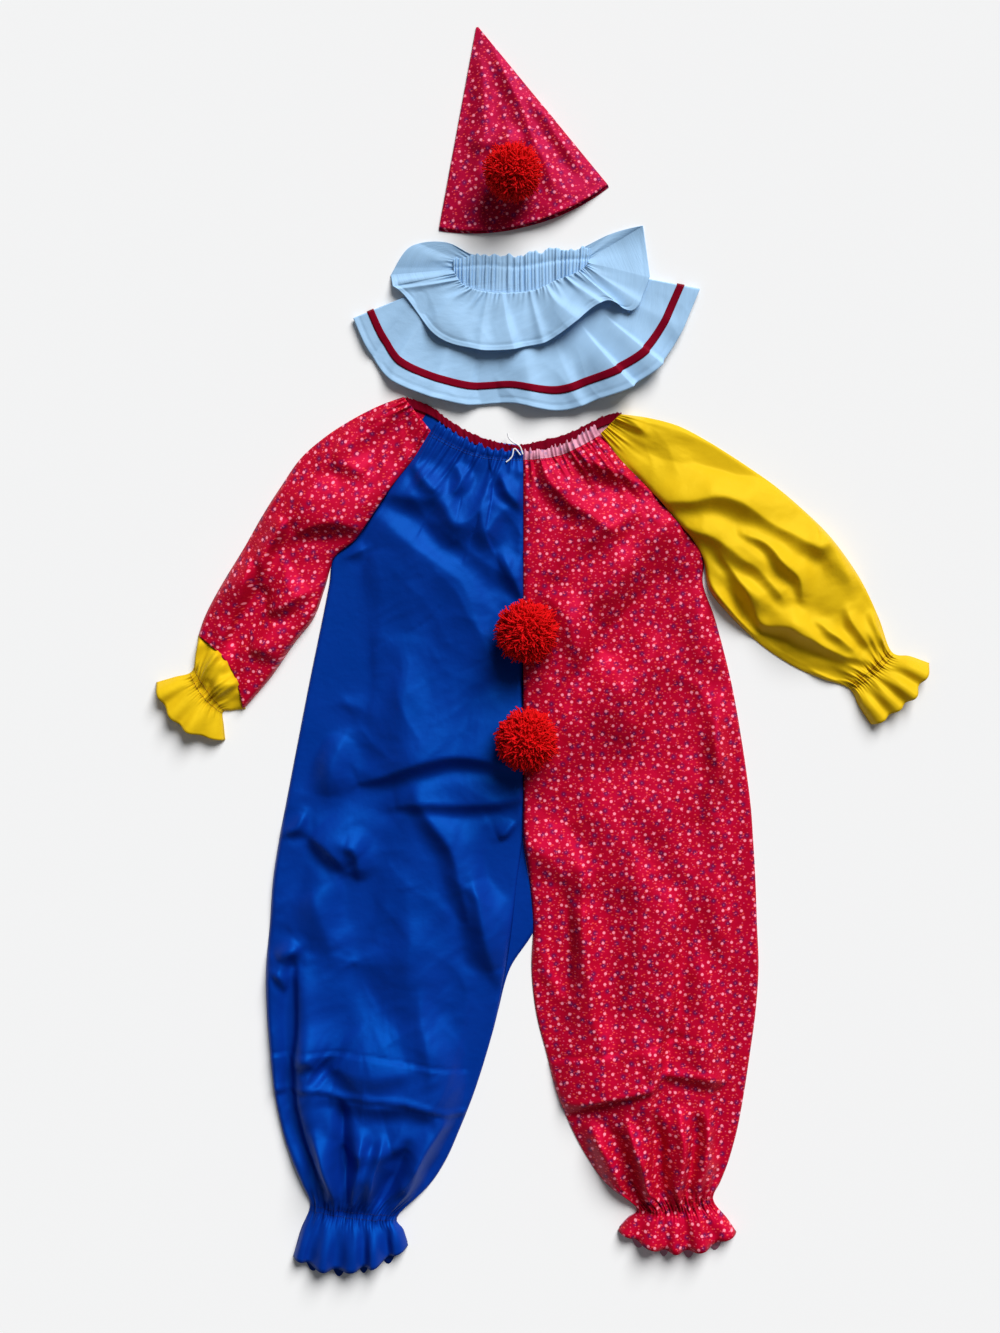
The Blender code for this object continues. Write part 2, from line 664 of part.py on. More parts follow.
def pompon(name, x, y, width, rest_z):
    """A yarn ball, pressed flat where it is sewn on."""
    bm = bmesh.new()
    bmesh.ops.create_uvsphere(bm, u_segments=18, v_segments=11, radius=0.5)
    for vert in bm.verts:
        vert.co = Vector((vert.co.x * width, vert.co.y * width, vert.co.z * POMPON_HEIGHT * 1.12))
        vert.co.z = max(vert.co.z + POMPON_HEIGHT * 0.44, 0.0)
        vert.co = (vert.co + Vector((x, y, rest_z))) * MM
    flat = [v for v in bm.verts if v.co.z < (rest_z + 0.01) * MM]
    bmesh.ops.delete(bm, geom=flat, context="VERTS")
    rim = [e for e in bm.edges if e.is_boundary]
    low = {v for e in rim for v in e.verts}
    for vert in low:
        vert.co.z = rest_z * MM
    bmesh.ops.contextual_create(bm, geom=rim)
    return finish(bm, name, "yarn")


def tie(name, points):
    """A free end of the neck drawstring, laid on the front."""
    curve = bpy.data.curves.new(name, "CURVE")
    curve.dimensions = "3D"
    curve.bevel_depth = TIE_DIAMETER / 2.0 * MM
    curve.bevel_resolution = 2
    curve.use_fill_caps = True
    spline = curve.splines.new("POLY")
    per_span = 2
    count = (len(points) - 1) * per_span + 1
    spline.points.add(count - 1)
    for index in range(count):
        right, up = between(points, index / per_span)
        spline.points[index].co = (
            (CENTRE_X + right) * MM,
            (NECK_Y + up) * MM,
            TIE_HEIGHT * MM,
            1.0,
        )
    piece = bpy.data.objects.new(name, curve)
    curve.materials.append(material(name, COLOURS["tie"]))
    COSTUME.objects.link(piece)
    return piece


def top_near(piece, x, y, radius):
    """The highest point of a piece within a radius of a place, in mm."""
    near = [
        v.co.z for v in piece.data.vertices
        if (Vector((v.co.x, v.co.y)) - Vector((x, y)) * MM).length < radius * MM
    ]
    return max(near) / MM


for old in list(bpy.data.objects):
    bpy.data.objects.remove(old, do_unlink=True)
COSTUME = bpy.data.collections.new("clown_costume")
bpy.context.scene.collection.children.link(COSTUME)

blue_front = front("front_blue", "blue", BLUE_SIDE, FRONT_BLUE)
print_front = front("front_print", "print", PRINT_SIDE, FRONT_PRINT)
back("back_blue", "blue", BLUE_SIDE, FRONT_BLUE)
back("back_print", "print", PRINT_SIDE, FRONT_PRINT)
cloth(
    "sleeve_print", "print",
    raglan_sections(BLUE_SIDE, FRONT_BLUE) + sleeve_sections(BLUE_SIDE, SLEEVE_PRINT, elastic=7),
)
cloth("cuff_yellow", "yellow", sleeve_sections(BLUE_SIDE, CUFF_YELLOW, elastic=2))
cloth(
    "sleeve_yellow", "yellow",
    raglan_sections(PRINT_SIDE, FRONT_PRINT) + sleeve_sections(PRINT_SIDE, SLEEVE_YELLOW, elastic=5),
)
casing()
for label, drop in (("pompon_upper", 226.0), ("pompon_lower", 365.0)):
    centre = on_suit(PRINT_SIDE, 4.0, drop)
    rest = max(top_near(half, *centre, POMPON_WIDTH * 1.1) for half in (blue_front, print_front))
    pompon(label, *centre, POMPON_WIDTH, rest + GAP)
tie("neck_tie_left", TIE_LEFT)
tie("neck_tie_right", TIE_RIGHT)

ring("ruff_upper", "white", UPPER_FRONT, UPPER_BACK, Z_UPPER_FRONT, Z_UPPER_BACK, (4, 24, 14),
     flutes=1.0, spread=True)
ring("ruff_lower", "white", LOWER_FRONT, LOWER_BACK, Z_LOWER_FRONT, Z_LOWER_BACK, (5, 26, 12),
     flutes=1.0)
ring("ruff_neckband", "white", BAND_FRONT, BAND_BACK, Z_BAND_FRONT, Z_BAND_BACK, (1, 12, 12))
ring("ruff_ribbon", "dark_red", LOWER_FRONT, LOWER_BACK, Z_LOWER_FRONT, Z_LOWER_BACK, (1, 26, 12),
     flutes=1.0, span=RIBBON, trim=RIBBON_THICKNESS)

cone = hat()
hat_pompon_place = (-39.5, 606.0)
pompon("hat_pompon", *hat_pompon_place, HAT_POMPON_WIDTH,
       top_near(cone, *hat_pompon_place, HAT_POMPON_WIDTH * 1.1) + GAP)
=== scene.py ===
"""A child's clown costume laid flat: jumpsuit, two-tier ruff and cone hat, in cloth, yarn and thread.

Sizes in the tables are in millimetres. On the jumpsuit "out" is the distance from the centre-front
seam and "drop" the distance below the front neck, so both halves are described the same way round.
"""

from collections import namedtuple
from math import cos, pi, radians, sin

import bmesh
import bpy
import numpy as np
from mathutils import Matrix, Vector


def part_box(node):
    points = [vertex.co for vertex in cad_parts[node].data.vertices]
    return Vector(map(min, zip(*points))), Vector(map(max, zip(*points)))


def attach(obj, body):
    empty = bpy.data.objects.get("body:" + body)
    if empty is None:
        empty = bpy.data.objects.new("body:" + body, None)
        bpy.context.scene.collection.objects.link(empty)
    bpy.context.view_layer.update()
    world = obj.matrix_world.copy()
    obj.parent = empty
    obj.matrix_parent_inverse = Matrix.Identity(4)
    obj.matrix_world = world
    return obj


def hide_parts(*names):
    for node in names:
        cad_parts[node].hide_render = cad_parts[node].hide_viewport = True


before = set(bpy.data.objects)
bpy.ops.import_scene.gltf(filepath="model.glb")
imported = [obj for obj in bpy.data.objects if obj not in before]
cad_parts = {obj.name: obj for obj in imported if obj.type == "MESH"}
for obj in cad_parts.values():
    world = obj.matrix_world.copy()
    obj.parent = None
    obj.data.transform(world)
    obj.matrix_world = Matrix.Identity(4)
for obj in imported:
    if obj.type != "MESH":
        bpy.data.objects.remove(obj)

bl_info = {
    "name": "Clown costume, laid flat",
    "version": (1, 0, 0),
    "blender": (4, 5, 0),
    "location": "View3D > Sidebar > Costume",
    "description": "Builds the cloth, trimmings and stage of a clown costume laid flat",
    "category": "Add Mesh",
}

MM = 0.001
TINY = 1e-6              # a length that is as good as none

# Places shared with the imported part, in millimetres
CENTRE_X = -25.5
NECK_Y = 245.5
FRONT_TOP = 3.3          # top face of a front where it lies flat on its back panel
THIN_WALL = 1.2
THIN_CLOTH = 0.5         # shown thickness of the casing tape and the neckband
RUFF_CENTRE = (-29.5, 479.5)
HAT_APEX = (-85.5, 806.5)
HAT_SLANT = 267.0
HAT_ANGLES = (-10.5, 39.4)
HAT_PUFF = 13.0
TIE_HEIGHT = 9.3
POMPON_CORE = 0.72       # how far out a pompon's dark core reaches, and where its yarn ends begin
POMPON_ROOT = 0.45
BLUE_SIDE = -1
PRINT_SIDE = 1

# The cloth (m), and the motifs of its print, each one scattered spot to a cell: shift, turn and stretch
# of the cells, their size, the spot's radius, how soft its edge is, how freely it lies, and its colour
THREAD_PITCH = 0.0006
THREAD_DEPTH = 0.00004
CRINKLE_SIZE = 0.011
CRINKLE_DEPTH = 0.0007
Motif = namedtuple("Motif", "by turn stretch cell radius soft scatter colour")
FLORET = Motif((0.0023, -0.0031), 0.0, (1.0, 1.0), 0.0172, 0.0030, 0.8, 0.8, (0.12, 0.004, 0.06))
DOT = Motif((0.0, 0.0), 0.0, (1.0, 1.0), 0.0140, 0.0018, 0.35, 0.62, (1.0, 0.30, 0.40))
MOTIFS = (
    FLORET,
    FLORET._replace(radius=0.0009, soft=0.35, colour=(0.32, 0.07, 0.17)),
    Motif((0.031, 0.017), 0.7, (1.0, 1.8), 0.0118, 0.0014, 0.35, 0.8, (0.80, 0.065, 0.05)),
    Motif((0.073, 0.041), -0.9, (1.0, 1.5), 0.0104, 0.0010, 0.35, 0.8, (0.74, 0.045, 0.075)),
    Motif((0.117, 0.083), 0.3, (1.0, 1.0), 0.0092, 0.0008, 0.35, 0.8, (0.70, 0.08, 0.16)),
    DOT,
)
FADED_DOT = DOT._replace(scatter=0.8, colour=(0.42, 0.20, 0.34))

# The stage: the key light with its spread in degrees, the fill of the room, and the camera (m, mm)
FLOOR_SIZE = 14.0
FLOOR_COLOUR = (0.93, 0.93, 0.93)
KEY_POWER = 4.36
KEY_SPREAD = 38.0
KEY_SIDE = (0.33, 0.70, 0.60)
FILL_COLOUR = (0.94, 0.97, 1.0)
FILL_POWER = 0.12
CAMERA_PLACE = (-0.0555, -0.0253, 2.407)
CAMERA_LENS = 50.0
CAMERA_SENSOR = 36.0

# Places among the rows of a front table, and among the sections of the cuff and the yellow sleeve
GATHER_ROW = 1
ARMPIT_ROW = 7
ELASTIC_ROW = 23
CUFF_ELASTIC = 2
WRIST_ELASTIC = 12
CUFF_ACROSS = 70           # places across the front layer of the cuff
WRIST_ACROSS = 96          # and of the yellow sleeve

# A row of a front or back panel runs from its outer edge to its inner edge. "dip" lowers its
# middle, "edge" and "puff" lift its outer edge and its middle, "leg" is 0 on the body, 1 on a leg.
Row = namedtuple("Row", "outer_out outer_drop inner_out inner_drop dip edge puff leg")
FRONT_BLUE = (
    Row(112, -47, 0, -10, 12, 3.0, 2.0, 0.0),
    Row(120, -35, 0, 0, 12, 3.5, 3.0, 0.0),
    Row(143, 2, 0, 24, 6, 4.5, 5.0, 0.0),
    Row(164, 29, 0, 46, 3, 5.5, 6.5, 0.0),
    Row(182, 55, 0, 68, 0, 6.0, 7.5, 0.0),
    Row(199, 81, 0, 90, 0, 6.0, 8.0, 0.0),
    Row(218, 107, 0, 112, 0, 5.0, 8.5, 0.0),
    Row(246, 131, 0, 134, 0, 2.0, 9.0, 0.0),
    Row(252, 165, 0, 165, 0, 0.8, 9.0, 0.0),
    Row(261, 211, 0, 211, 0, 0.5, 9.0, 0.0),
    Row(277, 289, 0, 289, 0, 0.3, 9.0, 0.0),
    Row(292, 366, 0, 366, 0, 0.3, 9.0, 0.1),
    Row(307, 444, 0, 444, 0, 0.3, 9.0, 0.4),
    Row(317, 496, 0.5, 494, 0, 0.3, 9.5, 0.8),
    Row(325, 549, 8, 549, 0, 0.3, 10.0, 1.0),
    Row(329, 606, 14, 606, 0, 0.3, 11.0, 1.0),
    Row(334, 663, 22, 663, 0, 0.3, 11.5, 1.0),
    Row(333, 720, 33, 720, 0, 0.3, 12.0, 1.0),
    Row(329, 772, 47, 772, 0, 0.3, 13.0, 1.0),
    Row(323, 825, 64, 825, 0, 0.3, 14.0, 1.0),
    Row(313, 873, 83, 873, 0, 0.3, 15.0, 1.0),
    Row(300, 913, 101, 913, 0, 0.3, 15.0, 1.0),
    Row(287, 943, 124, 947, 0, 0.3, 12.0, 1.0),
    Row(277, 971, 163, 985, 3, 0.3, 7.0, 1.0),
    Row(289, 1002, 156, 1002, 6, 0.5, 8.0, 1.0),
    Row(299, 1034, 150, 1022, 20, 1.0, 9.0, 1.0),
)
FRONT_PRINT = (
    Row(94, -43, 0, -10, 10, 3.0, 2.0, 0.0),
    Row(100, -31, 0, 2, 10, 3.5, 3.0, 0.0),
    Row(127, 3, 0, 24, 5, 4.5, 5.0, 0.0),
    Row(152, 29, 0, 46, 2, 5.5, 6.5, 0.0),
    Row(176, 55, 0, 68, 0, 6.0, 7.5, 0.0),
    Row(197, 81, 0, 90, 0, 6.0, 8.0, 0.0),
    Row(220, 107, 0, 112, 0, 5.0, 8.5, 0.0),
    Row(234, 133, 0, 134, 0, 2.0, 9.0, 0.0),
    Row(234, 165, 0, 165, 0, 0.8, 9.0, 0.0),
    Row(250, 211, 0, 211, 0, 0.5, 9.0, 0.0),
    Row(270, 289, 0, 289, 0, 0.3, 9.0, 0.0),
    Row(284, 366, 0, 366, 0, 0.3, 9.0, 0.1),
    Row(295, 444, 0, 444, 0, 0.3, 9.0, 0.4),
    Row(299, 496, 0, 494, 0, 0.3, 9.5, 0.8),
    Row(302, 549, 8, 549, 0, 0.3, 10.0, 1.0),
    Row(304, 606, 13, 606, 0, 0.3, 11.0, 1.0),
    Row(306, 663, 11, 663, 0, 0.3, 11.5, 1.0),
    Row(302, 720, 17, 720, 0, 0.3, 12.0, 1.0),
    Row(295, 772, 30, 772, 0, 0.3, 13.0, 1.0),
    Row(287, 825, 44, 825, 0, 0.3, 14.0, 1.0),
    Row(278, 873, 64, 873, 0, 0.3, 15.0, 1.0),
    Row(267, 913, 86, 913, 0, 0.3, 15.0, 1.0),
    Row(257, 939, 110, 945, 0, 0.3, 12.0, 1.0),
    Row(247, 963, 147, 974, 3, 0.3, 7.0, 1.0),
    Row(264, 986, 136, 988, 6, 0.5, 8.0, 1.0),
    Row(276, 1004, 125, 1002, 22, 1.0, 9.0, 1.0),
)

# What a back panel does otherwise than its front: the neck is higher, the crotch juts further in
BackNeck = namedtuple("BackNeck", "outer_out outer_drop inner_out inner_drop dip")
BACK_NECK = {
    BLUE_SIDE: BackNeck(121, -66, 0, -17, 13),
    PRINT_SIDE: BackNeck(114, -56, 0, -17, 8),
}
BackCrotch = namedtuple("BackCrotch", "drop inner_out")
BACK_CROTCH = {
    BLUE_SIDE: (BackCrotch(549, -7), BackCrotch(606, -14), BackCrotch(663, 17)),
    PRINT_SIDE: (BackCrotch(606, 17), BackCrotch(663, 14)),
}

# A row of a sleeve goes from its front inner edge out to the fold along its outer edge, and back
# underneath. "bulge" pushes the middle of the row towards the wrist.
SleeveRow = namedtuple("SleeveRow", "outer_out outer_drop inner_out inner_drop bulge puff")
# Beside the raglan seam only the folded outer edge is listed: the inner edge is the seam itself
RAGLAN_OUTER = {
    BLUE_SIDE: ((155, -79), (187, -67), (222, -49), (256, -27), (288, 1), (314, 38), (337, 74)),
    PRINT_SIDE: ((127, -57), (165, -51), (201, -41), (236, -23), (270, -2), (300, 18), (328, 38)),
}
SLEEVE_PRINT = (
    SleeveRow(362, 118, 258, 170, 0, 11.0),
    SleeveRow(386, 157, 272, 208, 2, 11.0),
    SleeveRow(403, 187, 296, 239, 4, 11.0),
    SleeveRow(414, 210, 328, 285, 2, 10.0),
    SleeveRow(421, 231, 363, 326, -14, 9.0),
)
CUFF_YELLOW = (
    SleeveRow(421.5, 231.5, 363.5, 326.5, -14, 9.0),
    SleeveRow(425, 255, 378, 328, 0, 8.0),
    SleeveRow(430, 278, 390, 330, 4, 6.0),
    SleeveRow(452, 285, 389, 347, 12, 8.0),
    SleeveRow(476, 292, 387, 366, 20, 9.0),
)
SLEEVE_YELLOW = (
    SleeveRow(362, 67, 242, 171, 0, 11.0),
    SleeveRow(395, 99, 268, 204, 2, 11.0),
    SleeveRow(422, 134, 306, 240, 2, 11.0),
    SleeveRow(443, 168, 347, 268, 2, 11.0),
    SleeveRow(462, 210, 386, 286, 2, 9.0),
    SleeveRow(478, 252, 423, 299, 2, 6.0),
    SleeveRow(502, 258, 436, 322, 6, 8.0),
    SleeveRow(527, 267, 451, 345, 10, 9.0),
)

# A station of a ruff tier goes from the gathered neck to the hem, both measured from the middle of
# the neck (right, up). "rise" lifts the hem. Front stations run left to right, back ones return.
Station = namedtuple("Station", "neck_x neck_y hem_x hem_y rise")
UPPER_FRONT = (
    Station(-84, 4, -165, -12, 0.5),
    Station(-75, -9, -150, -24, 3.0),
    Station(-57, -17, -104, -78, 4.0),
    Station(-33, -21, -50, -95, 2.0),
    Station(-7, -21, -2, -92, 4.5),
    Station(21, -17, 39, -82, 2.0),
    Station(44, -6, 82, -50, 6.0),
    Station(68, 3, 112, -32, 3.0),
    Station(82, 11, 146, -44, 4.0),
    Station(88, 18, 168, 0, 1.0),
)
UPPER_BACK = (
    Station(88, 24, 160, 68, 0.0),
    Station(72, 26, 116, 56, 0.0),
    Station(40, 22, 62, 31, 0.0),
    Station(0, 19, 0, 27, 0.0),
    Station(-40, 20, -60, 30, 0.0),
    Station(-62, 24, -98, 46, 0.0),
    Station(-78, 20, -142, 40, 0.0),
    Station(-87, 11, -168, 4, 0.0),
)
LOWER_FRONT = (
    Station(-82, 1, -216, -54, 1.5),
    Station(-74, -10, -196, -98, 3.0),
    Station(-62, -15, -172, -128, 1.5),
    Station(-45, -19, -124, -151, 4.0),
    Station(-25, -21, -68, -164, 1.5),
    Station(-5, -21, -13, -163, 3.5),
    Station(16, -18, 49, -172, 2.0),
    Station(34, -12, 96, -160, 5.0),
    Station(50, -4, 140, -143, 2.0),
    Station(64, 1, 180, -115, 5.0),
    Station(76, 7, 207, -74, 2.0),
    Station(84, 13, 233, -16, 2.0),
)
LOWER_BACK = (
    Station(84, 13, 233, -16, 0.0),
    Station(76, 19, 190, -66, 0.0),
    Station(52, 22, 112, -130, 0.0),
    Station(0, 24, 0, -146, 0.0),
    Station(-52, 22, -112, -130, 0.0),
    Station(-74, 14, -184, -88, 0.0),
    Station(-82, 1, -216, -54, 0.0),
)
BAND_FRONT = (
    Station(-80, 0, -79, -8, 0.0),
    Station(-56, -14, -54, -26, 0.0),
    Station(0, -19, 0, -33, 0.0),
    Station(50, -6, 52, -18, 0.0),
    Station(81, 12, 80, 0, 0.0),
)
BAND_BACK = (
    Station(84, 33, 80, 6, 0.0),
    Station(44, 33, 44, -4, 0.0),
    Station(0, 26, 0, -15, 0.0),
    Station(-44, 26, -46, -8, 0.0),
    Station(-80, 20, -79, -2, 0.0),
)
# Undersides of the nested layers at the neck, from the floor up
Z_UPPER_BACK = 0.0
Z_LOWER_BACK = 1.5
Z_BAND_BACK = 3.0
Z_BAND_FRONT = 4.5
Z_LOWER_FRONT = 6.0
Z_UPPER_FRONT = 7.5
RIBBON = (0.80, 0.865)     # from neck to hem, where the ribbon starts and ends

# The two free ends of the neck drawstring: out to the right of the seam, up from the front neck
TIE_LEFT = ((-3.5, 3), (-6.5, 7), (-10, 11), (-12.5, 10.5), (-13, 6), (-14.5, 1), (-18, -3),
            (-22, -6))
TIE_RIGHT = ((-0.5, 4), (-2, 9), (-4, 14), (-8, 17), (-12, 19), (-16, 22), (-19, 26), (-20, 31))

CREASE_RISE = 2.4        # how tall the creases of the tables stand, all together
CREASE_SPREAD = 1.25     # and how wide
NECK_PLEAT = 3.2         # how tall the pleats stand below the gathered neck
HEADER_PLEAT = 2.4       # and in the header above it
SLEEVE_PLEAT = 3.0       # and on the sleeves
RUFF_PLEAT = 1.9         # and on the ruff
BODY_GRAIN = 1.5         # turn of the grain on the fronts, the ruff and the hat, in radians
SLEEVE_GRAIN = 0.85      # and on the sleeves
THREAD_LIFT = 0.3        # how far stitches lie above the cloth
CUFF_TUCK = 3.0          # how far the cuff reaches under the end of its sleeve

# The wear of the cloth: soft waves turned from its grain, and whether they come to a crest
Wear = namedtuple("Wear", "turn length breadth rise crested")
WEAR = (
    Wear(0.25, 190, 58, 7.0, False),
    Wear(-0.45, 130, 36, 3.4, False),
    Wear(0.80, 80, 30, 1.8, True),
    Wear(-1.10, 34, 17, 0.7, True),
)

# A crease is a soft ridge (or trough, with a negative rise) along points (out, drop). "lean" makes
# its lower side steeper, from 0 to 0.8.
Crease = namedtuple("Crease", "points width rise lean")
CREASES_BLUE = (
    Crease(((168, 50), (142, 53), (110, 56), (90, 86), (74, 84), (55, 70), (46, 96), (30, 76), (8, 60)),
           15, 6.0, 0.3),
    Crease(((186, 82), (156, 104), (128, 126), (101, 152), (80, 168), (68, 198), (56, 234), (44, 262)),
           26, 6.5, -0.4),
    Crease(((120, 78), (88, 108), (52, 132), (20, 150)), 20, 4.5, 0.4),
    Crease(((140, 10), (128, 30), (112, 44)), 7, 3.5, 0.2),
    Crease(((86, 8), (80, 30), (92, 50)), 6, 3.5, 0.0),
    Crease(((30, 22), (20, 44), (6, 62)), 6, 3.5, 0.2),
    Crease(((198, 120), (188, 170), (192, 252), (196, 350)), 20, 3.0, 0.0),
    Crease(((238, 134), (216, 124), (204, 118)), 6, 2.5, 0.2),
    Crease(((150, 160), (138, 230), (146, 300), (160, 372)), 24, 2.5, 0.0),
    Crease(((26, 130), (14, 158), (2, 180)), 8, 3.5, 0.3),
    Crease(((232, 360), (246, 400), (250, 440)), 12, 4.0, 0.0),
    Crease(((214, 424), (182, 410), (140, 396), (98, 388), (56, 394), (10, 408)), 26, 7.0, 0.72),
    Crease(((168, 452), (130, 447), (86, 449), (40, 446), (4, 440)), 18, 4.5, 0.66),
    Crease(((206, 330), (232, 318), (258, 322)), 12, 2.5, 0.2),
    Crease(((282, 462), (292, 480), (306, 486)), 6, 3.5, 0.2),
    Crease(((274, 492), (250, 512), (228, 534)), 18, 6.0, 0.6),
    Crease(((232, 504), (216, 512), (214, 550)), 8, 4.0, 0.2),
    Crease(((222, 540), (215, 601), (224, 654)), 22, -5.0, 0.0),
    Crease(((220, 654), (202, 689), (180, 724), (163, 750)), 24, -6.0, 0.0),
    Crease(((136, 452), (112, 480), (92, 510), (79, 556), (72, 600)), 12, 6.0, 0.3),
    Crease(((10, 474), (20, 486), (30, 494)), 7, 4.5, 0.3),
    Crease(((66, 552), (56, 584), (47, 626), (38, 664)), 15, 7.5, 0.3),
    Crease(((150, 560), (146, 620), (152, 690)), 16, 3.0, 0.0),
    Crease(((274, 560), (262, 590), (246, 640)), 16, 4.0, 0.2),
    Crease(((288, 634), (300, 642), (310, 656)), 7, 4.5, 0.3),
    Crease(((303, 655), (303, 700), (302, 760), (300, 830), (286, 888), (252, 960)), 9, -6.0, 0.0),
    Crease(((292, 660), (292, 700), (291, 760), (288, 826), (274, 886), (244, 950)), 14, 5.0, 0.7),
    Crease(((74, 690), (80, 740), (98, 812), (118, 866), (160, 938)), 18, 2.8, 0.3),
    Crease(((322, 668), (312, 674), (306, 690)), 6, 3.5, 0.2),
    Crease(((250, 818), (224, 825), (180, 834), (150, 834), (118, 848)), 34, 5.0, 0.78),
    Crease(((236, 892), (206, 897), (172, 889)), 24, 5.0, 0.7),
    Crease(((296, 788), (278, 777), (266, 784)), 12, 5.0, 0.5),
    Crease(((262, 788), (248, 800)), 16, -6.0, 0.0),
    Crease(((132, 704), (127, 752), (120, 800)), 11, 3.5, 0.0),
    Crease(((49, 667), (54, 732), (71, 810), (93, 872), (137, 945)), 14, -3.5, 0.0),
    Crease(((250, 790), (206, 798), (150, 792)), 14, 3.5, 0.3),
    Crease(((268, 880), (256, 925), (250, 968)), 8, 7.5, 0.2),
    Crease(((236, 836), (232, 900), (228, 962)), 6, -6.5, 0.0),
    Crease(((206, 880), (214, 925), (222, 968)), 8, 8.0, 0.0),
    Crease(((182, 884), (192, 925), (203, 968)), 6, 7.0, 0.0),
    Crease(((150, 890), (166, 930), (185, 968)), 8, -7.0, 0.0),
    Crease(((100, 856), (132, 905), (170, 962)), 8, 6.5, 0.0),
)
CREASES_PRINT = (
    Crease(((62, -12), (88, 6), (124, 22), (174, 46)), 10, 5.0, 0.3),
    Crease(((20, 0), (34, 34), (64, 62), (112, 96)), 9, 4.0, 0.3),
    Crease(((206, 70), (168, 108), (120, 170), (80, 236), (25, 315)), 26, 6.5, 0.4),
    Crease(((222, 150), (172, 186), (122, 228), (62, 292)), 20, -5.0, 0.0),
    Crease(((150, 62), (120, 90), (84, 108), (52, 146)), 13, 4.5, 0.3),
    Crease(((226, 110), (214, 150), (178, 220), (150, 300)), 16, 4.5, 0.2),
    Crease(((232, 170), (226, 240), (236, 330)), 13, 3.0, 0.0),
    Crease(((30, 180), (58, 214), (66, 262)), 12, 3.0, 0.0),
    Crease(((215, 290), (186, 330), (150, 385), (90, 404), (14, 412)), 26, -6.0, 0.0),
    Crease(((12, 440), (50, 468), (88, 516)), 20, -5.0, 0.0),
    Crease(((246, 345), (250, 400), (238, 460)), 8, 3.5, 0.0),
    Crease(((100, 250), (128, 300), (138, 372)), 18, 3.0, 0.0),
    Crease(((262, 300), (252, 360), (262, 430)), 12, 3.0, 0.0),
    Crease(((8, 502), (34, 516), (62, 548)), 18, 4.0, 0.4),
    Crease(((51, 578), (50, 630), (53, 685)), 9, -7.0, 0.0),
    Crease(((74, 540), (78, 610), (86, 700), (104, 780)), 11, 4.5, 0.0),
    Crease(((197, 576), (193, 626), (185, 716), (169, 770), (163, 824), (166, 890), (176, 965)),
           15, 6.5, 0.6),
    Crease(((140, 500), (150, 560), (146, 640), (132, 720)), 15, 3.5, 0.0),
    Crease(((260, 500), (250, 580), (262, 660)), 14, 3.5, 0.0),
    Crease(((228, 640), (236, 720), (222, 790)), 12, 4.0, 0.0),
    Crease(((282, 690), (276, 760), (262, 830), (248, 900)), 8, -5.0, 0.0),
    Crease(((48, 842), (84, 838), (117, 831), (160, 820)), 24, 6.0, 0.8),
    Crease(((182, 801), (214, 804), (272, 815)), 16, 3.5, 0.7),
    Crease(((86, 866), (112, 910), (140, 965)), 8, 5.5, 0.0),
    Crease(((112, 870), (130, 915), (150, 965)), 7, -4.0, 0.0),
    Crease(((134, 860), (148, 910), (164, 965)), 7, 7.0, 0.0),
    Crease(((170, 850), (174, 905), (178, 965)), 6, -7.0, 0.0),
    Crease(((204, 850), (206, 905), (198, 965)), 8, 7.5, 0.0),
    Crease(((226, 862), (220, 910), (210, 960)), 6, -6.0, 0.0),
    Crease(((240, 850), (234, 905), (222, 955)), 8, 5.0, 0.0),
)

# The top edge of the casing tape behind the neck: right of the centre seam, and up from the neck
CASING_TOP = ((-152, 79), (-121, 67), (-98, 50), (-72, 34), (-44, 23), (-20, 17), (0, 17), (24, 22),
              (60, 32), (88, 46), (114, 57), (128, 58))

# Growth tucks: the stitched line and the folded edge below it, as (out, drop)
Tuck = namedtuple("Tuck", "line edge")
TUCKS = {
    BLUE_SIDE: Tuck(((328, 772), (242, 768), (194, 773), (144, 783), (87, 793), (46, 797)),
                    ((320, 822), (265, 820), (233, 828), (152, 836), (96, 853), (58, 854))),
    PRINT_SIDE: Tuck(((30, 780), (86, 776), (160, 762), (200, 752), (296, 764)),
                     ((48, 840), (84, 838), (117, 831), (163, 820), (182, 801), (216, 803), (284, 815))),
}
CREASES_SLEEVE_PRINT = (
    Crease(((150, -62), (196, -40), (240, -8), (262, 20)), 12, 3.0, 0.3),
    Crease(((292, 102), (264, 90), (236, 87), (206, 96)), 20, 6.0, 0.65),
    Crease(((206, 20), (228, 8), (246, 6)), 14, 4.0, 0.4),
    Crease(((338, 146), (322, 108), (304, 82)), 9, 4.5, 0.5),
    Crease(((390, 240), (364, 178), (352, 134)), 9, 4.5, 0.5),
    Crease(((372, 250), (350, 200), (330, 168)), 12, -4.0, 0.0),
    Crease(((336, 198), (312, 190), (276, 172)), 18, 5.0, 0.65),
    Crease(((262, 30), (300, 70), (330, 120), (372, 190)), 16, 3.5, 0.0),
    Crease(((318, 262), (336, 250), (352, 252)), 12, 3.5, 0.4),
)
CREASES_CUFF = (
    Crease(((420, 236), (428, 258), (430, 276)), 6, 4.0, 0.0),
    Crease(((396, 252), (404, 270), (412, 290)), 6, 5.0, 0.0),
    Crease(((384, 264), (392, 282), (400, 300)), 5, 4.0, 0.0),
    Crease(((374, 290), (388, 296), (402, 306)), 6, 4.0, 0.0),
)
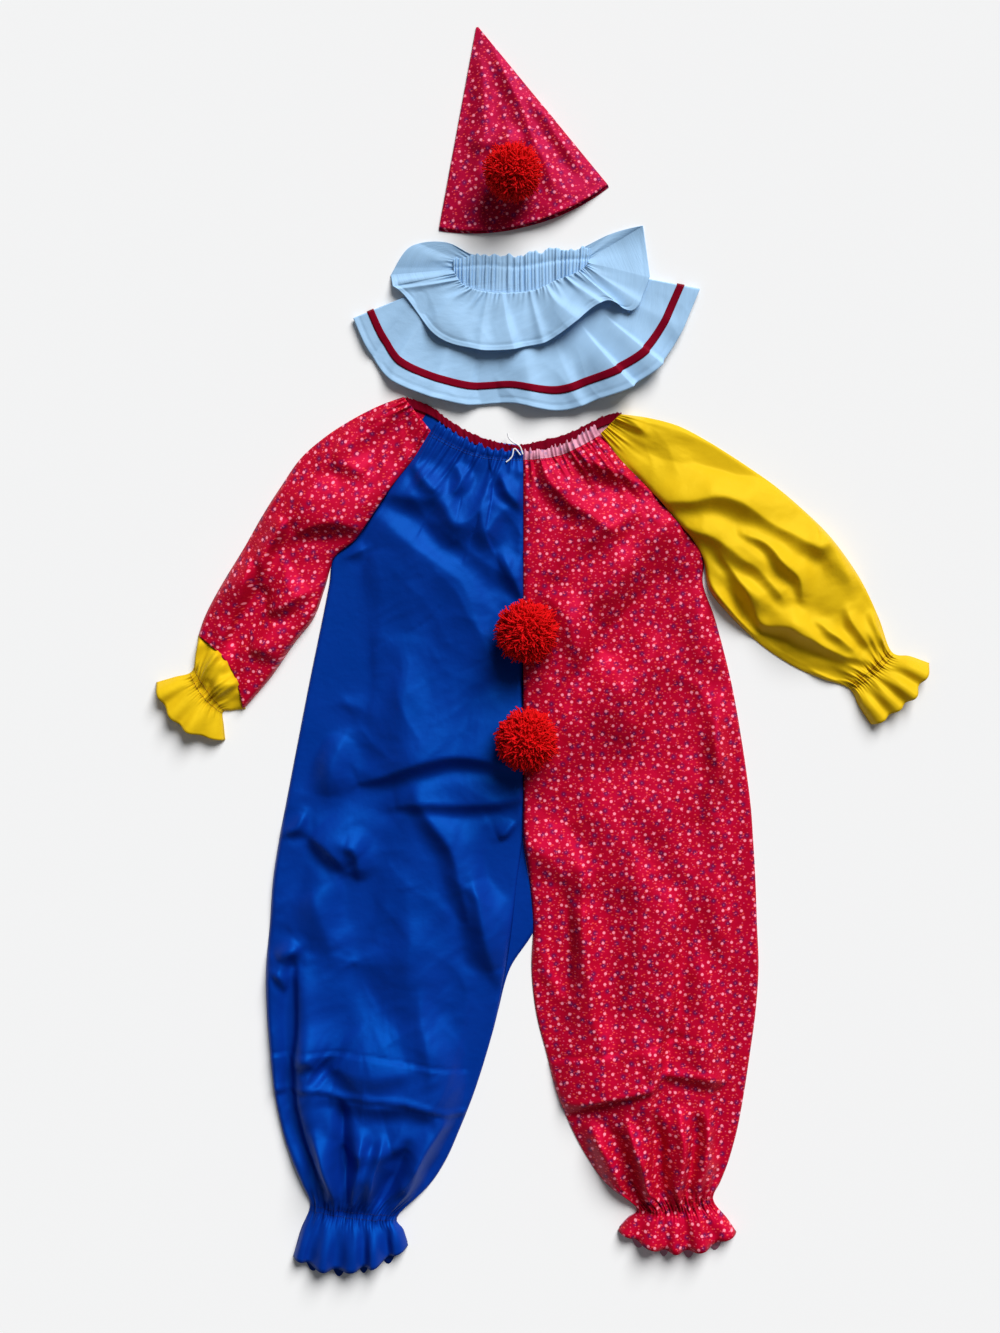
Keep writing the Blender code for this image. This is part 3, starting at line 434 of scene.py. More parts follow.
CREASES_SLEEVE_YELLOW = (
    Crease(((114, -50), (136, -50), (156, -34)), 6, 3.5, 0.2),
    Crease(((130, -22), (170, -2), (214, 10), (258, 14), (304, 22)), 16, -5.0, 0.0),
    Crease(((176, 60), (214, 58), (250, 51), (283, 62), (330, 92), (366, 109), (383, 117), (398, 110)),
           13, 6.0, 0.4),
    Crease(((212, 93), (241, 103), (274, 125), (304, 146), (334, 180)), 10, 5.2, 0.4),
    Crease(((286, 100), (313, 113), (339, 142), (356, 160), (359, 182)), 8, 6.0, 0.4),
    Crease(((256, 126), (283, 168), (308, 213), (344, 222), (386, 244), (436, 264)), 8, 5.6, 0.4),
    Crease(((262, 168), (290, 206), (330, 246), (376, 272), (410, 286)), 10, -7.0, 0.0),
    Crease(((232, 163), (283, 214), (347, 258), (403, 287)), 7, 5.0, 0.2),
    Crease(((420, 200), (432, 224), (446, 246)), 7, 4.0, 0.2),
    Crease(((452, 196), (456, 222), (466, 244)), 6, 3.5, 0.0),
    Crease(((380, 214), (404, 232), (428, 250)), 6, 4.0, 0.2),
    Crease(((372, 76), (400, 118), (424, 160)), 9, 3.0, 0.0),
)

# The elastic of an ankle or a wrist: the pleats above it, the ribs on it, how it draws the cloth down,
# and the ruffle below it with its small frills. A "reach" is how far each goes from the elastic.
Elastic = namedtuple(
    "Elastic", "pleats pleat_reach pleat_rise onset ribs rib_rise rib_reach dip dip_reach "
    "ruffle lobe_share frills frill_reach frill_rise pleat_seed frill_seed")
ANKLE = Elastic(19, 58.0, 4.8, 6.0, 27, 1.9, 10.0, 1.6, 8.0, 40.0, 1.3, 17, 22.0, 3.8, 21, 31)
WRIST = Elastic(15, 40.0, 4.2, 5.0, 20, 1.4, 8.0, 1.5, 6.0, 34.0, 1.0, 14, 18.0, 2.8, 8, 9)

# A lobe of a ruffle: its place along the hem (0 to 1), its half width in the same measure, its rise
ANKLE_LOBES = {
    BLUE_SIDE: ((0.06, 0.07, 7), (0.27, 0.08, 11), (0.50, 0.09, 9), (0.72, 0.07, 12), (0.93, 0.06, 7)),
    PRINT_SIDE: ((0.07, 0.08, 8), (0.30, 0.08, 12), (0.52, 0.07, 10), (0.74, 0.09, 12), (0.94, 0.06, 7)),
}
BACK_LOBES = ((0.02, 0.05, 7), (0.17, 0.06, 17), (0.40, 0.06, 18), (0.62, 0.05, 17), (0.84, 0.06, 16))
CUFF_LOBES = ((0.10, 0.10, 6), (0.36, 0.10, 11), (0.62, 0.10, 9), (0.88, 0.09, 10))
WRIST_LOBES = ((0.10, 0.10, 9), (0.34, 0.09, 8), (0.58, 0.10, 12), (0.86, 0.10, 9))

# Folds of the ruff tiers run from the neck to the hem: place at the neck and at the hem (0 to 1 along
# the front), width and rise at the hem, lean
Flute = namedtuple("Flute", "neck hem width rise lean")
UPPER_FLUTES = (
    Flute(0.08, 0.07, 0.030, 6, 0.2), Flute(0.17, 0.20, 0.042, 10, -0.4), Flute(0.30, 0.33, 0.024, 5, 0.0),
    Flute(0.38, 0.43, 0.046, 9, 0.5), Flute(0.52, 0.53, 0.022, 4, 0.0), Flute(0.60, 0.64, 0.050, 9, 0.4),
    Flute(0.73, 0.74, 0.024, 6, 0.3), Flute(0.83, 0.82, 0.034, 11, 0.6), Flute(0.92, 0.92, 0.026, 8, 0.4),
)
LOWER_FLUTES = (
    Flute(0.00, 0.115, 0.034, -9, 0.0), Flute(0.05, 0.200, 0.048, 10, -0.45),
    Flute(0.23, 0.29, 0.020, 4, 0.2), Flute(0.32, 0.36, 0.044, 8, 0.5), Flute(0.47, 0.50, 0.030, 5, 0.0),
    Flute(0.56, 0.60, 0.050, 7, 0.4), Flute(0.68, 0.735, 0.044, 14, 0.82),
    Flute(0.79, 0.825, 0.034, 12, 0.8), Flute(0.91, 0.92, 0.030, 6, 0.2),
)


def smooth_step(x):
    """A soft step from 0 at 0 to 1 at 1."""
    x = np.clip(x, 0.0, 1.0)
    return x * x * (3.0 - 2.0 * x)


def hump(x):
    """A half wave from 0 at one end to 1 in the middle and 0 at the other end."""
    return np.maximum(np.sin(pi * np.clip(x, 0.0, 1.0)), 0.0)


def spline(rows, where):
    """The row at each place between listed rows, on a smooth curve through them."""
    rows = np.asarray(rows, float)
    where = np.asarray(where, float)
    last = len(rows) - 1
    first = np.clip(where.astype(int), 0, last - 1)
    t = (where - first)[..., None]
    p, q, r, s = (rows[np.clip(first + k, 0, last)] for k in (-1, 0, 1, 2))
    return q + 0.5 * t * (r - p + t * (2 * p - 5 * q + 4 * r - s + t * (3 * (q - r) + s - p)))


def sampled(rows, share):
    """The row at places from 0 to 1 along listed rows."""
    return spline(rows, share * (len(rows) - 1))


def even_places(rows, columns, step):
    """Places among rows that are about `step` apart, measured along the middle of the listed columns."""
    places = np.linspace(0, len(rows) - 1, 40 * (len(rows) - 1) + 1)
    path = spline(rows, places)[:, columns].reshape(len(places), -1, 2).mean(axis=1)
    along = np.concatenate([[0.0], np.cumsum(np.hypot(*np.diff(path, axis=0).T))])
    count = max(int(round(along[-1] / step)), 2)
    spots = np.interp(np.linspace(0, along[-1], count + 1), along, places)
    return spots, np.interp(spots, places, along)


def ripple(x, y, size, seed):
    """Smooth random unevenness of about the given size, from -1 to 1."""
    lattice = np.random.default_rng(seed).uniform(-1.0, 1.0, (97, 97))
    gx, gy = np.asarray(x) / size + 41.3, np.asarray(y) / size + 37.7
    ix, iy = np.floor(gx).astype(int), np.floor(gy).astype(int)
    fx, fy = smooth_step(gx - ix), smooth_step(gy - iy)
    corner = [[lattice[(ix + a) % 97, (iy + b) % 97] for b in (0, 1)] for a in (0, 1)]
    near = corner[0][0] * (1 - fy) + corner[0][1] * fy
    far = corner[1][0] * (1 - fy) + corner[1][1] * fy
    return near * (1 - fx) + far * fx


def crumple(x, y, seed, grain=BODY_GRAIN):
    """The unevenness of cotton that has been worn and laid down again, in mm, longer along the grain."""
    x, y = x + 17.0 * ripple(x, y, 64, seed + 5), y + 17.0 * ripple(x, y, 57, seed + 6)
    total = 0.12 * ripple(x, y, 7, seed + 3)
    for number, wear in enumerate(WEAR):
        angle = grain + wear.turn
        along = (x * cos(angle) + y * sin(angle)) / wear.length
        across = (y * cos(angle) - x * sin(angle)) / wear.breadth
        wave = ripple(along, across, 1.0, seed + 11 * number)
        total = total + wear.rise * (0.5 - np.abs(wave) if wear.crested else wave)
    return total


def beside_line(line, x, y):
    """How far places lie from a line, on which side of it (-1 to 1) and how far along it (0 to 1)."""
    whole = (line[-1] - line[0]) / np.hypot(*(line[-1] - line[0]))
    facing = -1.0 if whole[0] < -0.05 or (whole[0] <= 0.05 and whole[1] > 0) else 1.0
    away = np.full(x.shape, np.inf)
    side = np.zeros(x.shape)
    along = np.zeros(x.shape)
    for index in range(len(line) - 1):
        start, span = line[index], line[index + 1] - line[index]
        length = max(np.hypot(*span), TINY)
        t = np.clip(((x - start[0]) * span[0] + (y - start[1]) * span[1]) / length**2, 0, 1)
        dx, dy = x - start[0] - t * span[0], y - start[1] - t * span[1]
        distance = np.hypot(dx, dy)
        normal = facing * np.array([-span[1], span[0]]) / length
        closer = distance < away
        away[closer] = distance[closer]
        side[closer] = ((dx * normal[0] + dy * normal[1]) / np.maximum(distance, TINY))[closer]
        along[closer] = ((index + t) / (len(line) - 1))[closer]
    return away, side, along


def relief(creases, x, y):
    """What creases add to the height of places on a piece: each a ridge between two shallow hollows."""
    total = np.zeros(np.shape(x))
    for number, crease in enumerate(creases):
        breadth = crease.width * CREASE_SPREAD
        last = len(crease.points) - 1
        line = spline(crease.points, np.linspace(0, last, 5 * last + 1))
        reach = 5.0 * breadth * (1.0 + abs(crease.lean))
        near = (
            (x > line[:, 0].min() - reach) & (x < line[:, 0].max() + reach)
            & (y > line[:, 1].min() - reach) & (y < line[:, 1].max() + reach)
        )
        if not near.any():
            continue
        px = x[near] + 0.22 * breadth * ripple(x[near], y[near], 2.6 * breadth, number)
        py = y[near] + 0.22 * breadth * ripple(x[near], y[near], 2.1 * breadth, number + 50)
        away, side, along = beside_line(line, px, py)
        width = breadth * (1.0 - crease.lean * side) * (0.75 + 0.5 * hump(along))
        ridge = np.exp(-((away / width) ** 1.6))
        hollow = np.exp(-(((away - 1.9 * width) / width) ** 2))
        fade = hump(0.06 + 0.88 * along) ** 0.8
        total[near] += CREASE_RISE * crease.rise * (ridge - 0.22 * hollow) * fade
    return total


def gathers(s, depth, count, length, seed):
    """Uneven pleats, about 1 high, that leave a gathered line at places s and die away with the depth."""
    rng = np.random.default_rng(seed)
    height = np.zeros(np.broadcast(s, depth).shape)
    for index in range(count):
        place = (index + 0.5 + rng.uniform(-0.36, 0.36)) / count
        reach = length * rng.choice([0.2, 0.32, 0.5, 0.8, 1.3])
        drift = rng.uniform(-1.3, 1.3) / count
        tall = rng.uniform(0.3, 1.4)
        centre = place + drift * depth / length
        width = 0.27 / count * (1.0 + 1.5 * np.minimum(depth / length, 1.5))
        height += tall * np.exp(-(((s - centre) / width) ** 2)) * np.exp(-((depth / reach) ** 1.4))
    return height


def lobes_at(s, lobes):
    """The fluted edge of a ruffle: how high it stands at places along the hem, in mm."""
    total = np.zeros(np.shape(s))
    for place, width, rise in lobes:
        total += rise * np.exp(-(np.abs((s - place) / width) ** 2.4))
    return total


def tuck_height(side, out, drop):
    """The growth tuck of a leg: a layer more between its stitching and its folded edge."""
    tuck = TUCKS[side]
    line = np.array(sorted(tuck.line))
    edge = np.array(sorted(tuck.edge))
    top = np.interp(out, line[:, 0], line[:, 1])
    bottom = np.interp(out, edge[:, 0], edge[:, 1])
    flap = smooth_step((drop - top) / 3.0) * (1.0 - smooth_step((drop - bottom) / 1.8))
    bead = np.exp(-(((drop - bottom + 5.0) / 4.0) ** 2)) * (drop < bottom)
    dimple = np.exp(-(((drop - top) / 2.4) ** 2))
    return 2.0 * flap + 2.2 * bead - 1.3 * dimple


def on_suit(side, out, drop):
    """X and Y of places on the jumpsuit, in mm."""
    return CENTRE_X + side * out, NECK_Y - drop


def stack(x, y, z):
    """Places from their three coordinates."""
    return np.stack(np.broadcast_arrays(x, y, z), axis=-1).astype(float)


def on_ruff(spot, z):
    """Places on the ruff, in mm, from those measured from the middle of its neck."""
    return stack(RUFF_CENTRE[0] + spot[..., 0], RUFF_CENTRE[1] + spot[..., 1], z)


def on_hat(right, down, z):
    """Places on the hat, in mm, from those measured from its point."""
    return stack(HAT_APEX[0] + right, HAT_APEX[1] - down, z)


def add_object(name, data):
    """A new object of the scene that shows some data."""
    piece = bpy.data.objects.new(name, data)
    bpy.context.scene.collection.objects.link(piece)
    return piece


def grid_object(name, points, cloth, materials, looped=False, turned=0):
    """A sheet of cloth from a grid of places in mm. cloth is where each place is on the flat cut, in mm.

    The first `turned` rows show the last of the materials, the cloth's wrong side.
    """
    rows, across = points.shape[:2]
    bm = bmesh.new()
    bmesh.ops.create_grid(bm, x_segments=across - 1, y_segments=rows - 1, size=0.5)
    mesh = bpy.data.meshes.new(name)
    bm.to_mesh(mesh)
    bm.free()
    start = np.empty(len(mesh.vertices) * 3)
    mesh.vertices.foreach_get("co", start)
    column = np.rint((start[0::3] + 0.5) * (across - 1)).astype(int)
    row = np.rint((start[1::3] + 0.5) * (rows - 1)).astype(int)
    mesh.vertices.foreach_set("co", (points[row, column] * MM).ravel())
    corners = np.empty(len(mesh.loops), int)
    mesh.loops.foreach_get("vertex_index", corners)
    layer = mesh.uv_layers.new(name="cloth")
    layer.data.foreach_set("uv", (cloth[row, column] * MM)[corners].ravel())
    if turned:
        top = row[corners].reshape(-1, 4).min(axis=1)
        mesh.polygons.foreach_set("material_index", np.where(top < turned, len(materials) - 1, 0))
    middle, quarter = rows // 2, across // 4
    right = points[middle, quarter + 1] - points[middle, quarter]
    down = points[middle + 1, quarter] - points[middle, quarter]
    if np.cross(right, down)[2] < 0:
        mesh.flip_normals()
    if looped:
        bm = bmesh.new()
        bm.from_mesh(mesh)
        bmesh.ops.remove_doubles(bm, verts=bm.verts, dist=1e-6)
        bm.to_mesh(mesh)
        bm.free()
    mesh.shade_smooth()
    for material in materials:
        mesh.materials.append(material)
    return add_object(name, mesh)


def thicken(piece, thickness):
    """Give a sheet its two faces, the second with the cloth's wrong side where it has one."""
    shell = piece.modifiers.new("cloth thickness", "SOLIDIFY")
    shell.thickness = thickness * MM
    shell.offset = -1.0
    shell.use_rim = True
    shell.material_offset = len(piece.data.materials) - 1


def keep(piece, slot, *nodes):
    """Carry a finished piece with the costume, in place of plain solids of the part."""
    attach(piece, "root")
    if nodes:
        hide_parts(*nodes)


def show_sheet(name, points, cloth, materials, thickness, slot, looped=False, turned=0):
    piece = grid_object(name + "_cloth", points, cloth, materials, looped, turned)
    thicken(piece, thickness)
    keep(piece, slot, name)


def laid_out(points):
    """Where each place of a grid lies on the flat cloth, in mm, the first row on top."""
    across = np.linalg.norm(np.diff(points, axis=1), axis=-1)
    down = np.linalg.norm(np.diff(points, axis=0), axis=-1)
    x = np.concatenate([np.zeros((len(points), 1)), np.cumsum(across, axis=1)], axis=1)
    y = np.concatenate([np.zeros((1, points.shape[1])), np.cumsum(down, axis=0)], axis=0)
    return np.stack([x, -y], axis=-1)


def new_material(name, roughness, shine):
    """A material with its nodes, its links and its shader."""
    made = bpy.data.materials.new(name)
    made.use_nodes = True
    nodes = made.node_tree.nodes
    shader = nodes["Principled BSDF"]
    shader.inputs["Roughness"].default_value = roughness
    shader.inputs["Specular IOR Level"].default_value = shine
    return made, nodes, made.node_tree.links, shader


def cloth_place(nodes):
    """Node that gives the place on the flat cloth, in metres."""
    place = nodes.new("ShaderNodeUVMap")
    place.uv_map = "cloth"
    return place.outputs["UV"]


def bump(nodes, links, height, distance, strength=1.0):
    """Small unevenness of a surface, from a height in shares of a distance in metres."""
    made = nodes.new("ShaderNodeBump")
    made.inputs["Distance"].default_value = distance
    made.inputs["Strength"].default_value = strength
    links.new(height, made.inputs["Height"])
    return made


def noise(nodes, links, place, size, detail=2.0):
    """Soft patches of about the given size, in metres, from 0 to 1."""
    made = nodes.new("ShaderNodeTexNoise")
    made.inputs["Scale"].default_value = 1.0 / size
    made.inputs["Detail"].default_value = detail
    links.new(place, made.inputs["Vector"])
    return made.outputs["Fac"]


def mixed(nodes, links, share, first, second):
    """Mix two colours, each a value or a socket, by a share."""
    mix = nodes.new("ShaderNodeMix")
    mix.data_type = "RGBA"
    for socket, value in ((mix.inputs[6], first), (mix.inputs[7], second)):
        if isinstance(value, bpy.types.NodeSocket):
            links.new(value, socket)
        else:
            socket.default_value = (*value, 1.0)
    if isinstance(share, bpy.types.NodeSocket):
        links.new(share, mix.inputs[0])
    else:
        mix.inputs[0].default_value = share
    return mix.outputs[2]


def ramp(nodes, links, value, low, high):
    """A value turned into 1 below `low`, 0 above `high`."""
    made = nodes.new("ShaderNodeMapRange")
    made.interpolation_type = "SMOOTHSTEP"
    made.inputs["From Min"].default_value = low
    made.inputs["From Max"].default_value = high
    made.inputs["To Min"].default_value = 1.0
    made.inputs["To Max"].default_value = 0.0
    links.new(value, made.inputs["Value"])
    return made.outputs["Result"]


def shifted(nodes, links, place, by, turn, stretch):
    """A place on the cloth moved, turned and stretched."""
    made = nodes.new("ShaderNodeMapping")
    made.inputs["Location"].default_value = (*by, 0.0)
    made.inputs["Rotation"].default_value = (0.0, 0.0, turn)
    made.inputs["Scale"].default_value = (*stretch, 1.0)
    links.new(place, made.inputs["Vector"])
    return made.outputs["Vector"]


def spots(nodes, links, place, size, radius, soft, scatter):
    """Scattered round spots, one to a cell of the given size: 1 inside a spot, 0 outside."""
    cells = nodes.new("ShaderNodeTexVoronoi")
    cells.voronoi_dimensions = "2D"
    cells.inputs["Scale"].default_value = 1.0 / size
    cells.inputs["Randomness"].default_value = scatter
    links.new(place, cells.inputs["Vector"])
    share = radius / size
    return ramp(nodes, links, cells.outputs["Distance"], share * (1.0 - soft), share * (1.0 + soft))


def cotton(name, colour, roughness=0.5, glow=(1.0, 1.0, 1.0), shine=0.4, printed=None):
    """Woven cotton: a plain weave, fine crinkles, a slightly uneven dye, a gloss tinted with the glow."""
    made, nodes, links, shader = new_material(name, roughness, shine)
    place = cloth_place(nodes)
    tone = noise(nodes, links, place, 0.05, 3.0)
    darker = tuple(c * 0.86 for c in colour)
    lighter = tuple(min(c * 1.10 + 0.002, 1.0) for c in colour)
    base = mixed(nodes, links, tone, darker, lighter)
    if printed:
        base = printed(nodes, links, place, base)
    links.new(base, shader.inputs["Base Color"])
    shader.inputs["Specular Tint"].default_value = (*glow, 1.0)
    threads = []
    for direction in ("X", "Y"):
        wave = nodes.new("ShaderNodeTexWave")
        wave.bands_direction = direction
        wave.inputs["Scale"].default_value = 1.0 / THREAD_PITCH / (2.0 * pi) * 2.0
        wave.inputs["Distortion"].default_value = 0.6
        links.new(place, wave.inputs["Vector"])
        threads.append(wave.outputs["Fac"])
    woven = nodes.new("ShaderNodeMath")
    woven.operation = "MAXIMUM"
    links.new(threads[0], woven.inputs[0])
    links.new(threads[1], woven.inputs[1])
    fine = bump(nodes, links, woven.outputs["Value"], THREAD_DEPTH, 0.5)
    rough = bump(nodes, links, noise(nodes, links, place, CRINKLE_SIZE, 3.0), CRINKLE_DEPTH, 0.6)
    links.new(fine.outputs["Normal"], rough.inputs["Normal"])
    links.new(rough.outputs["Normal"], shader.inputs["Normal"])
    return made


def motif(nodes, links, place, kind, colour):
    """One kind of motif laid over a colour."""
    spot = shifted(nodes, links, place, kind.by, kind.turn, kind.stretch)
    inside = spots(nodes, links, spot, kind.cell, kind.radius, kind.soft, kind.scatter)
    return mixed(nodes, links, inside, colour, kind.colour)


def ditsy(nodes, links, place, ground):
    """A small scattered print on an uneven crimson ground."""
    colour = mixed(nodes, links, noise(nodes, links, place, 0.02), ground, (0.50, 0.001, 0.03))
    for kind in MOTIFS:
        colour = motif(nodes, links, place, kind, colour)
    return colour


def faded_ditsy(nodes, links, place, ground):
    """The same print seen through from the wrong side: only its dots show."""
    return motif(nodes, links, place, FADED_DOT, ground)


def plain(name, colour, roughness=0.8, shine=0.5):
    """A material of one colour, for the floor and for thread too thin to show more."""
    made, _nodes, _links, shader = new_material(name, roughness, shine)
    shader.inputs["Base Color"].default_value = (*colour, 1.0)
    return made


def seam_dip(distance, depth, width):
    """How far a seam draws the cloth down, by the distance from it."""
    return -depth * np.exp(-((distance / width) ** 2))


def roll_off(distance, width):
    """0 at a folded edge, rising steeply to 1 within the given width."""
    t = np.clip(distance / width, 0.0, 1.0)
    return np.sqrt(1.0 - (1.0 - t) ** 2)


def eased_floor(lift):
    """Height kept above the cloth beneath, so that hollows level out softly."""
    return np.where(lift > 2.0, lift, 2.0 * np.exp(np.minimum(lift - 2.0, 0.0) / 2.0)) - 0.5


def elastic_ruffle(kind, u, above, lobes, seed, inside=1.0):
    """What elastic adds to a tube of cloth: the lift, the way down its ruffle, and the hem's drop."""
    pleats = gathers(u, np.maximum(above, 0.0), kind.pleats, kind.pleat_reach, seed + kind.pleat_seed)
    lift = smooth_step(1.0 + above / kind.onset) * kind.pleat_rise * pleats * inside
    ribs = np.cos(2 * pi * (kind.ribs * u + 0.35 * ripple(u * 40.0, 0.0 * u, 3.0, seed + 41)))
    lift = lift + kind.rib_rise * np.exp(-((above / kind.rib_reach) ** 2)) * ribs
    lift = lift + seam_dip(above, kind.dip, kind.dip_reach)
    fall = np.clip(-above / kind.ruffle, 0.0, 1.3)
    shape = lobes_at(u, lobes)
    frills = gathers(u, np.maximum(-above, 0.0), kind.frills, kind.frill_reach, seed + kind.frill_seed)
    lift = lift + kind.lobe_share * shape * smooth_step(fall)
    lift = lift + kind.frill_rise * frills * smooth_step(-above / 3.0)
    return lift, fall, 0.4 * shape * fall


def front_grid(side, table, creases, lobes, seed, pleats):
    """Places of a front with its leg, from the gathered header to the ankle ruffle."""
    where, length = even_places(table, [0, 1, 2, 3], 3.3)
    row = spline(table, where)
    outer_out, outer_drop, inner_out, inner_drop, dip, edge, puff, leg = (row[:, [k]] for k in range(8))
    where = where[:, None]
    u = np.linspace(0.0, 1.0, 121)[None, :]
    out = outer_out + (inner_out - outer_out) * u
    drop = outer_drop + (inner_drop - outer_drop) * u + dip * np.sin(pi * u)
    broad = np.abs(outer_out - inner_out)
    to_outer, to_inner = u * broad, (1.0 - u) * broad
    below_neck = (length - np.interp(GATHER_ROW, where[:, 0], length))[:, None]
    above_elastic = (np.interp(ELASTIC_ROW, where[:, 0], length) - length)[:, None]
    body = (1.0 - leg) * hump(0.5 * u) ** 0.6 + leg * hump(u) ** 0.6
    lift = edge * (1.0 - u) * (1.0 - leg) + puff * body
    lift = lift + relief(creases, out + 0 * drop, drop + 0 * out)
    calm = smooth_step(below_neck / 30.0) * smooth_step(above_elastic / 40.0)
    lift = lift + calm * crumple(out + 0 * drop, drop, seed)
    lift = lift + tuck_height(side, out, drop) * leg
    # the gathered neck with its standing header, then the ankle
    below = gathers(u, np.maximum(below_neck, 0.0), pleats, 62.0, seed + 11)
    lift = lift + smooth_step(below_neck / 6.0 + 1.0) * NECK_PLEAT * below
    header = smooth_step(-below_neck / 5.0)
    frill = gathers(u, 0.0, pleats, 40.0, seed + 11)
    lift = lift + header * (1.0 + HEADER_PLEAT * frill) + seam_dip(below_neck, 1.4, 2.2)
    drop = drop - header * (3.4 * frill + 2.0 * ripple(u * 300.0, 0.0 * u, 9.0, seed + 2) - 1.5)
    ankle, fall, hem = elastic_ruffle(ANKLE, u, above_elastic, lobes, seed)
    lift = lift + ankle
    drop = drop + hem
    out = out + smooth_step(fall) * 2.5 * ripple(u * 260.0, 12.0 * fall, 24.0, seed + 3)
    # seams and edges
    on_raglan = smooth_step(where + 0.2) * (1.0 - smooth_step((where - ARMPIT_ROW + 0.4) / 0.8))
    pucker = 0.35 * ripple(length[:, None] + 0 * u, 0.0 * u, 5.0, seed + 4)
    lift = lift + seam_dip(to_inner, 2.6, 3.0) * (1.0 - leg) + on_raglan * seam_dip(to_outer, 1.8, 3.0)
    lift = lift + pucker * np.exp(-((to_inner / 7.0) ** 2)) * (1.0 - leg)
    height = FRONT_TOP + eased_floor(lift)
    side_edge = (1.0 - on_raglan) * smooth_step(where - ARMPIT_ROW + 0.5)
    low = 1.1 + 0 * height
    height = low + (height - low) * (1.0 - side_edge * (1.0 - roll_off(to_outer, 6.0)))
    height = low + (height - low) * (1.0 - leg * (1.0 - roll_off(to_inner, 6.0)))
    x, y = on_suit(side, out, drop)
    cloth = stack(side * out, -(drop + 0 * out), 0.0)[..., :2]
    return stack(x, y, height), cloth, where[:, 0]


def back_grid(side, table, seed):
    """Places of a back with its leg, on the floor under the front."""
    neck = BACK_NECK[side]
    crotch = {row.drop: min(row.inner_out, row.inner_out - 3.0 * (row.inner_out < 0))
              for row in BACK_CROTCH[side]}
    rows = []
    armpit = table[ARMPIT_ROW]
    for where, row in enumerate(table[GATHER_ROW:], GATHER_ROW):
        values = [row.outer_out, row.outer_drop, crotch.get(row.inner_drop, row.inner_out), row.inner_drop,
                  row.dip]
        if where < ARMPIT_ROW:
            share = (where - GATHER_ROW) / (ARMPIT_ROW - GATHER_ROW)
            eased = smooth_step(share)
            values[0] = neck.outer_out + (armpit.outer_out - neck.outer_out) * share
            values[1] = neck.outer_drop + (armpit.outer_drop - neck.outer_drop) * share
            values[3] = neck.inner_drop + (armpit.inner_drop - neck.inner_drop) * eased
            values[4] = neck.dip * (1.0 - eased)
        rows.append(values)
    where, length = even_places(rows, [0, 1, 2, 3], 6.0)
    row = spline(rows, where)
    outer_out, outer_drop, inner_out, inner_drop, dip = (row[:, [k]] for k in range(5))
    u = np.linspace(0.0, 1.0, 55)[None, :]
    out = outer_out + (inner_out - outer_out) * u
    at_hem = smooth_step((length[:, None] - length[-1] + 34) / 34)
    drop = outer_drop + (inner_drop - outer_drop) * u + dip * np.sin(pi * u)
    drop = drop + at_hem * (lobes_at(u, BACK_LOBES) - 3.0)
    height = 0.75 + 0.35 * np.maximum(ripple(out + 0 * drop, drop, 26.0, seed), 0.0)
    pleats = 0.9 * gathers(u, length[:, None], 24, 30.0, seed + 1)
    x, y = on_suit(side, out, drop)
    cloth = stack(side * out, -(drop + 0 * out), 0.0)[..., :2]
    return stack(x, y, height + np.minimum(pleats, 1.0)), cloth


def folded_grid(side, rows, length, creases, seed, elastic=None, lobes=None, front=84, back=34, neck=0):
    """Places of a sleeve: its front layer from the inner edge to the fold, and its back layer under it.

    rows holds outer_out, outer_drop, front_out, front_drop, back_out, back_drop, bulge, puff, edge and
    raglan (1 beside the raglan seam) at even places; elastic is the length down to the wrist elastic.
    """
    outer, inner, under = rows[:, None, 0:2], rows[:, None, 2:4], rows[:, None, 4:6]
    bulge, puff, edge, raglan = (rows[:, [k]] for k in (6, 7, 8, 9))
    u = np.linspace(0.0, 1.0, front)[None, :]
    outward = outer - under
    outward = outward / np.linalg.norm(outward, axis=-1, keepdims=True)
    down = np.stack([-outward[..., 1], outward[..., 0]], axis=-1)
    down = down * np.where(down[..., 1:] < 0, -1.0, 1.0)
    spot = inner + (outer - inner) * u[..., None] + down * (bulge * np.sin(pi * u))[..., None]
    broad = np.linalg.norm(outer - inner, axis=-1)
    out, drop = spot[..., 0], spot[..., 1]
    lift = edge * (1.0 - u) + puff * hump(u) ** 0.6 + relief(creases, out, drop)
    depth = length[:, None]
    if neck:
        lift = lift + SLEEVE_PLEAT * gathers(u, depth, neck, 46.0, seed + 7)
    calm = smooth_step(depth / 30.0) if neck else 1.0
    if elastic is not None:
        above = elastic - depth
        calm = calm * smooth_step(above / 30.0)
        wrist, _fall, hem = elastic_ruffle(WRIST, u, above, lobes, seed, hump(u) ** 0.3)
        lift = lift + wrist
        spot = spot + down * hem[..., None]
        out, drop = spot[..., 0], spot[..., 1]
    lift = lift + calm * crumple(out, drop, seed, SLEEVE_GRAIN)
    lift = lift + raglan * seam_dip(u * broad, 1.8, 3.0)
    height = FRONT_TOP + eased_floor(lift)
    height = 1.1 + (height - 1.1) * (1.0 - (1.0 - raglan) * (1.0 - roll_off(u * broad, 5.0)))
    height = 1.7 + (height - 1.7) * roll_off((1.0 - u) * broad + 0.2, 5.0)
    x, y = on_suit(side, out, drop)
    top = stack(x, y, height)
    turn = outer + outward * 1.1
    x, y = on_suit(side, turn[..., 0], turn[..., 1])
    fold = stack(x, y, 1.2)
    v = np.linspace(1.0, 0.0, back)[None, :]
    low = under + (outer - under) * v[..., None] + down * (bulge * np.sin(pi * v))[..., None]
    x, y = on_suit(side, low[..., 0], low[..., 1])
    bottom = stack(x, y, 0.15 + 0.3 * np.maximum(ripple(low[..., 0], low[..., 1], 25.0, seed + 3), 0.0))
    points = np.concatenate([top, fold, bottom], axis=1)
    return points, points[..., :2] + 0.35 * points[..., 2:]


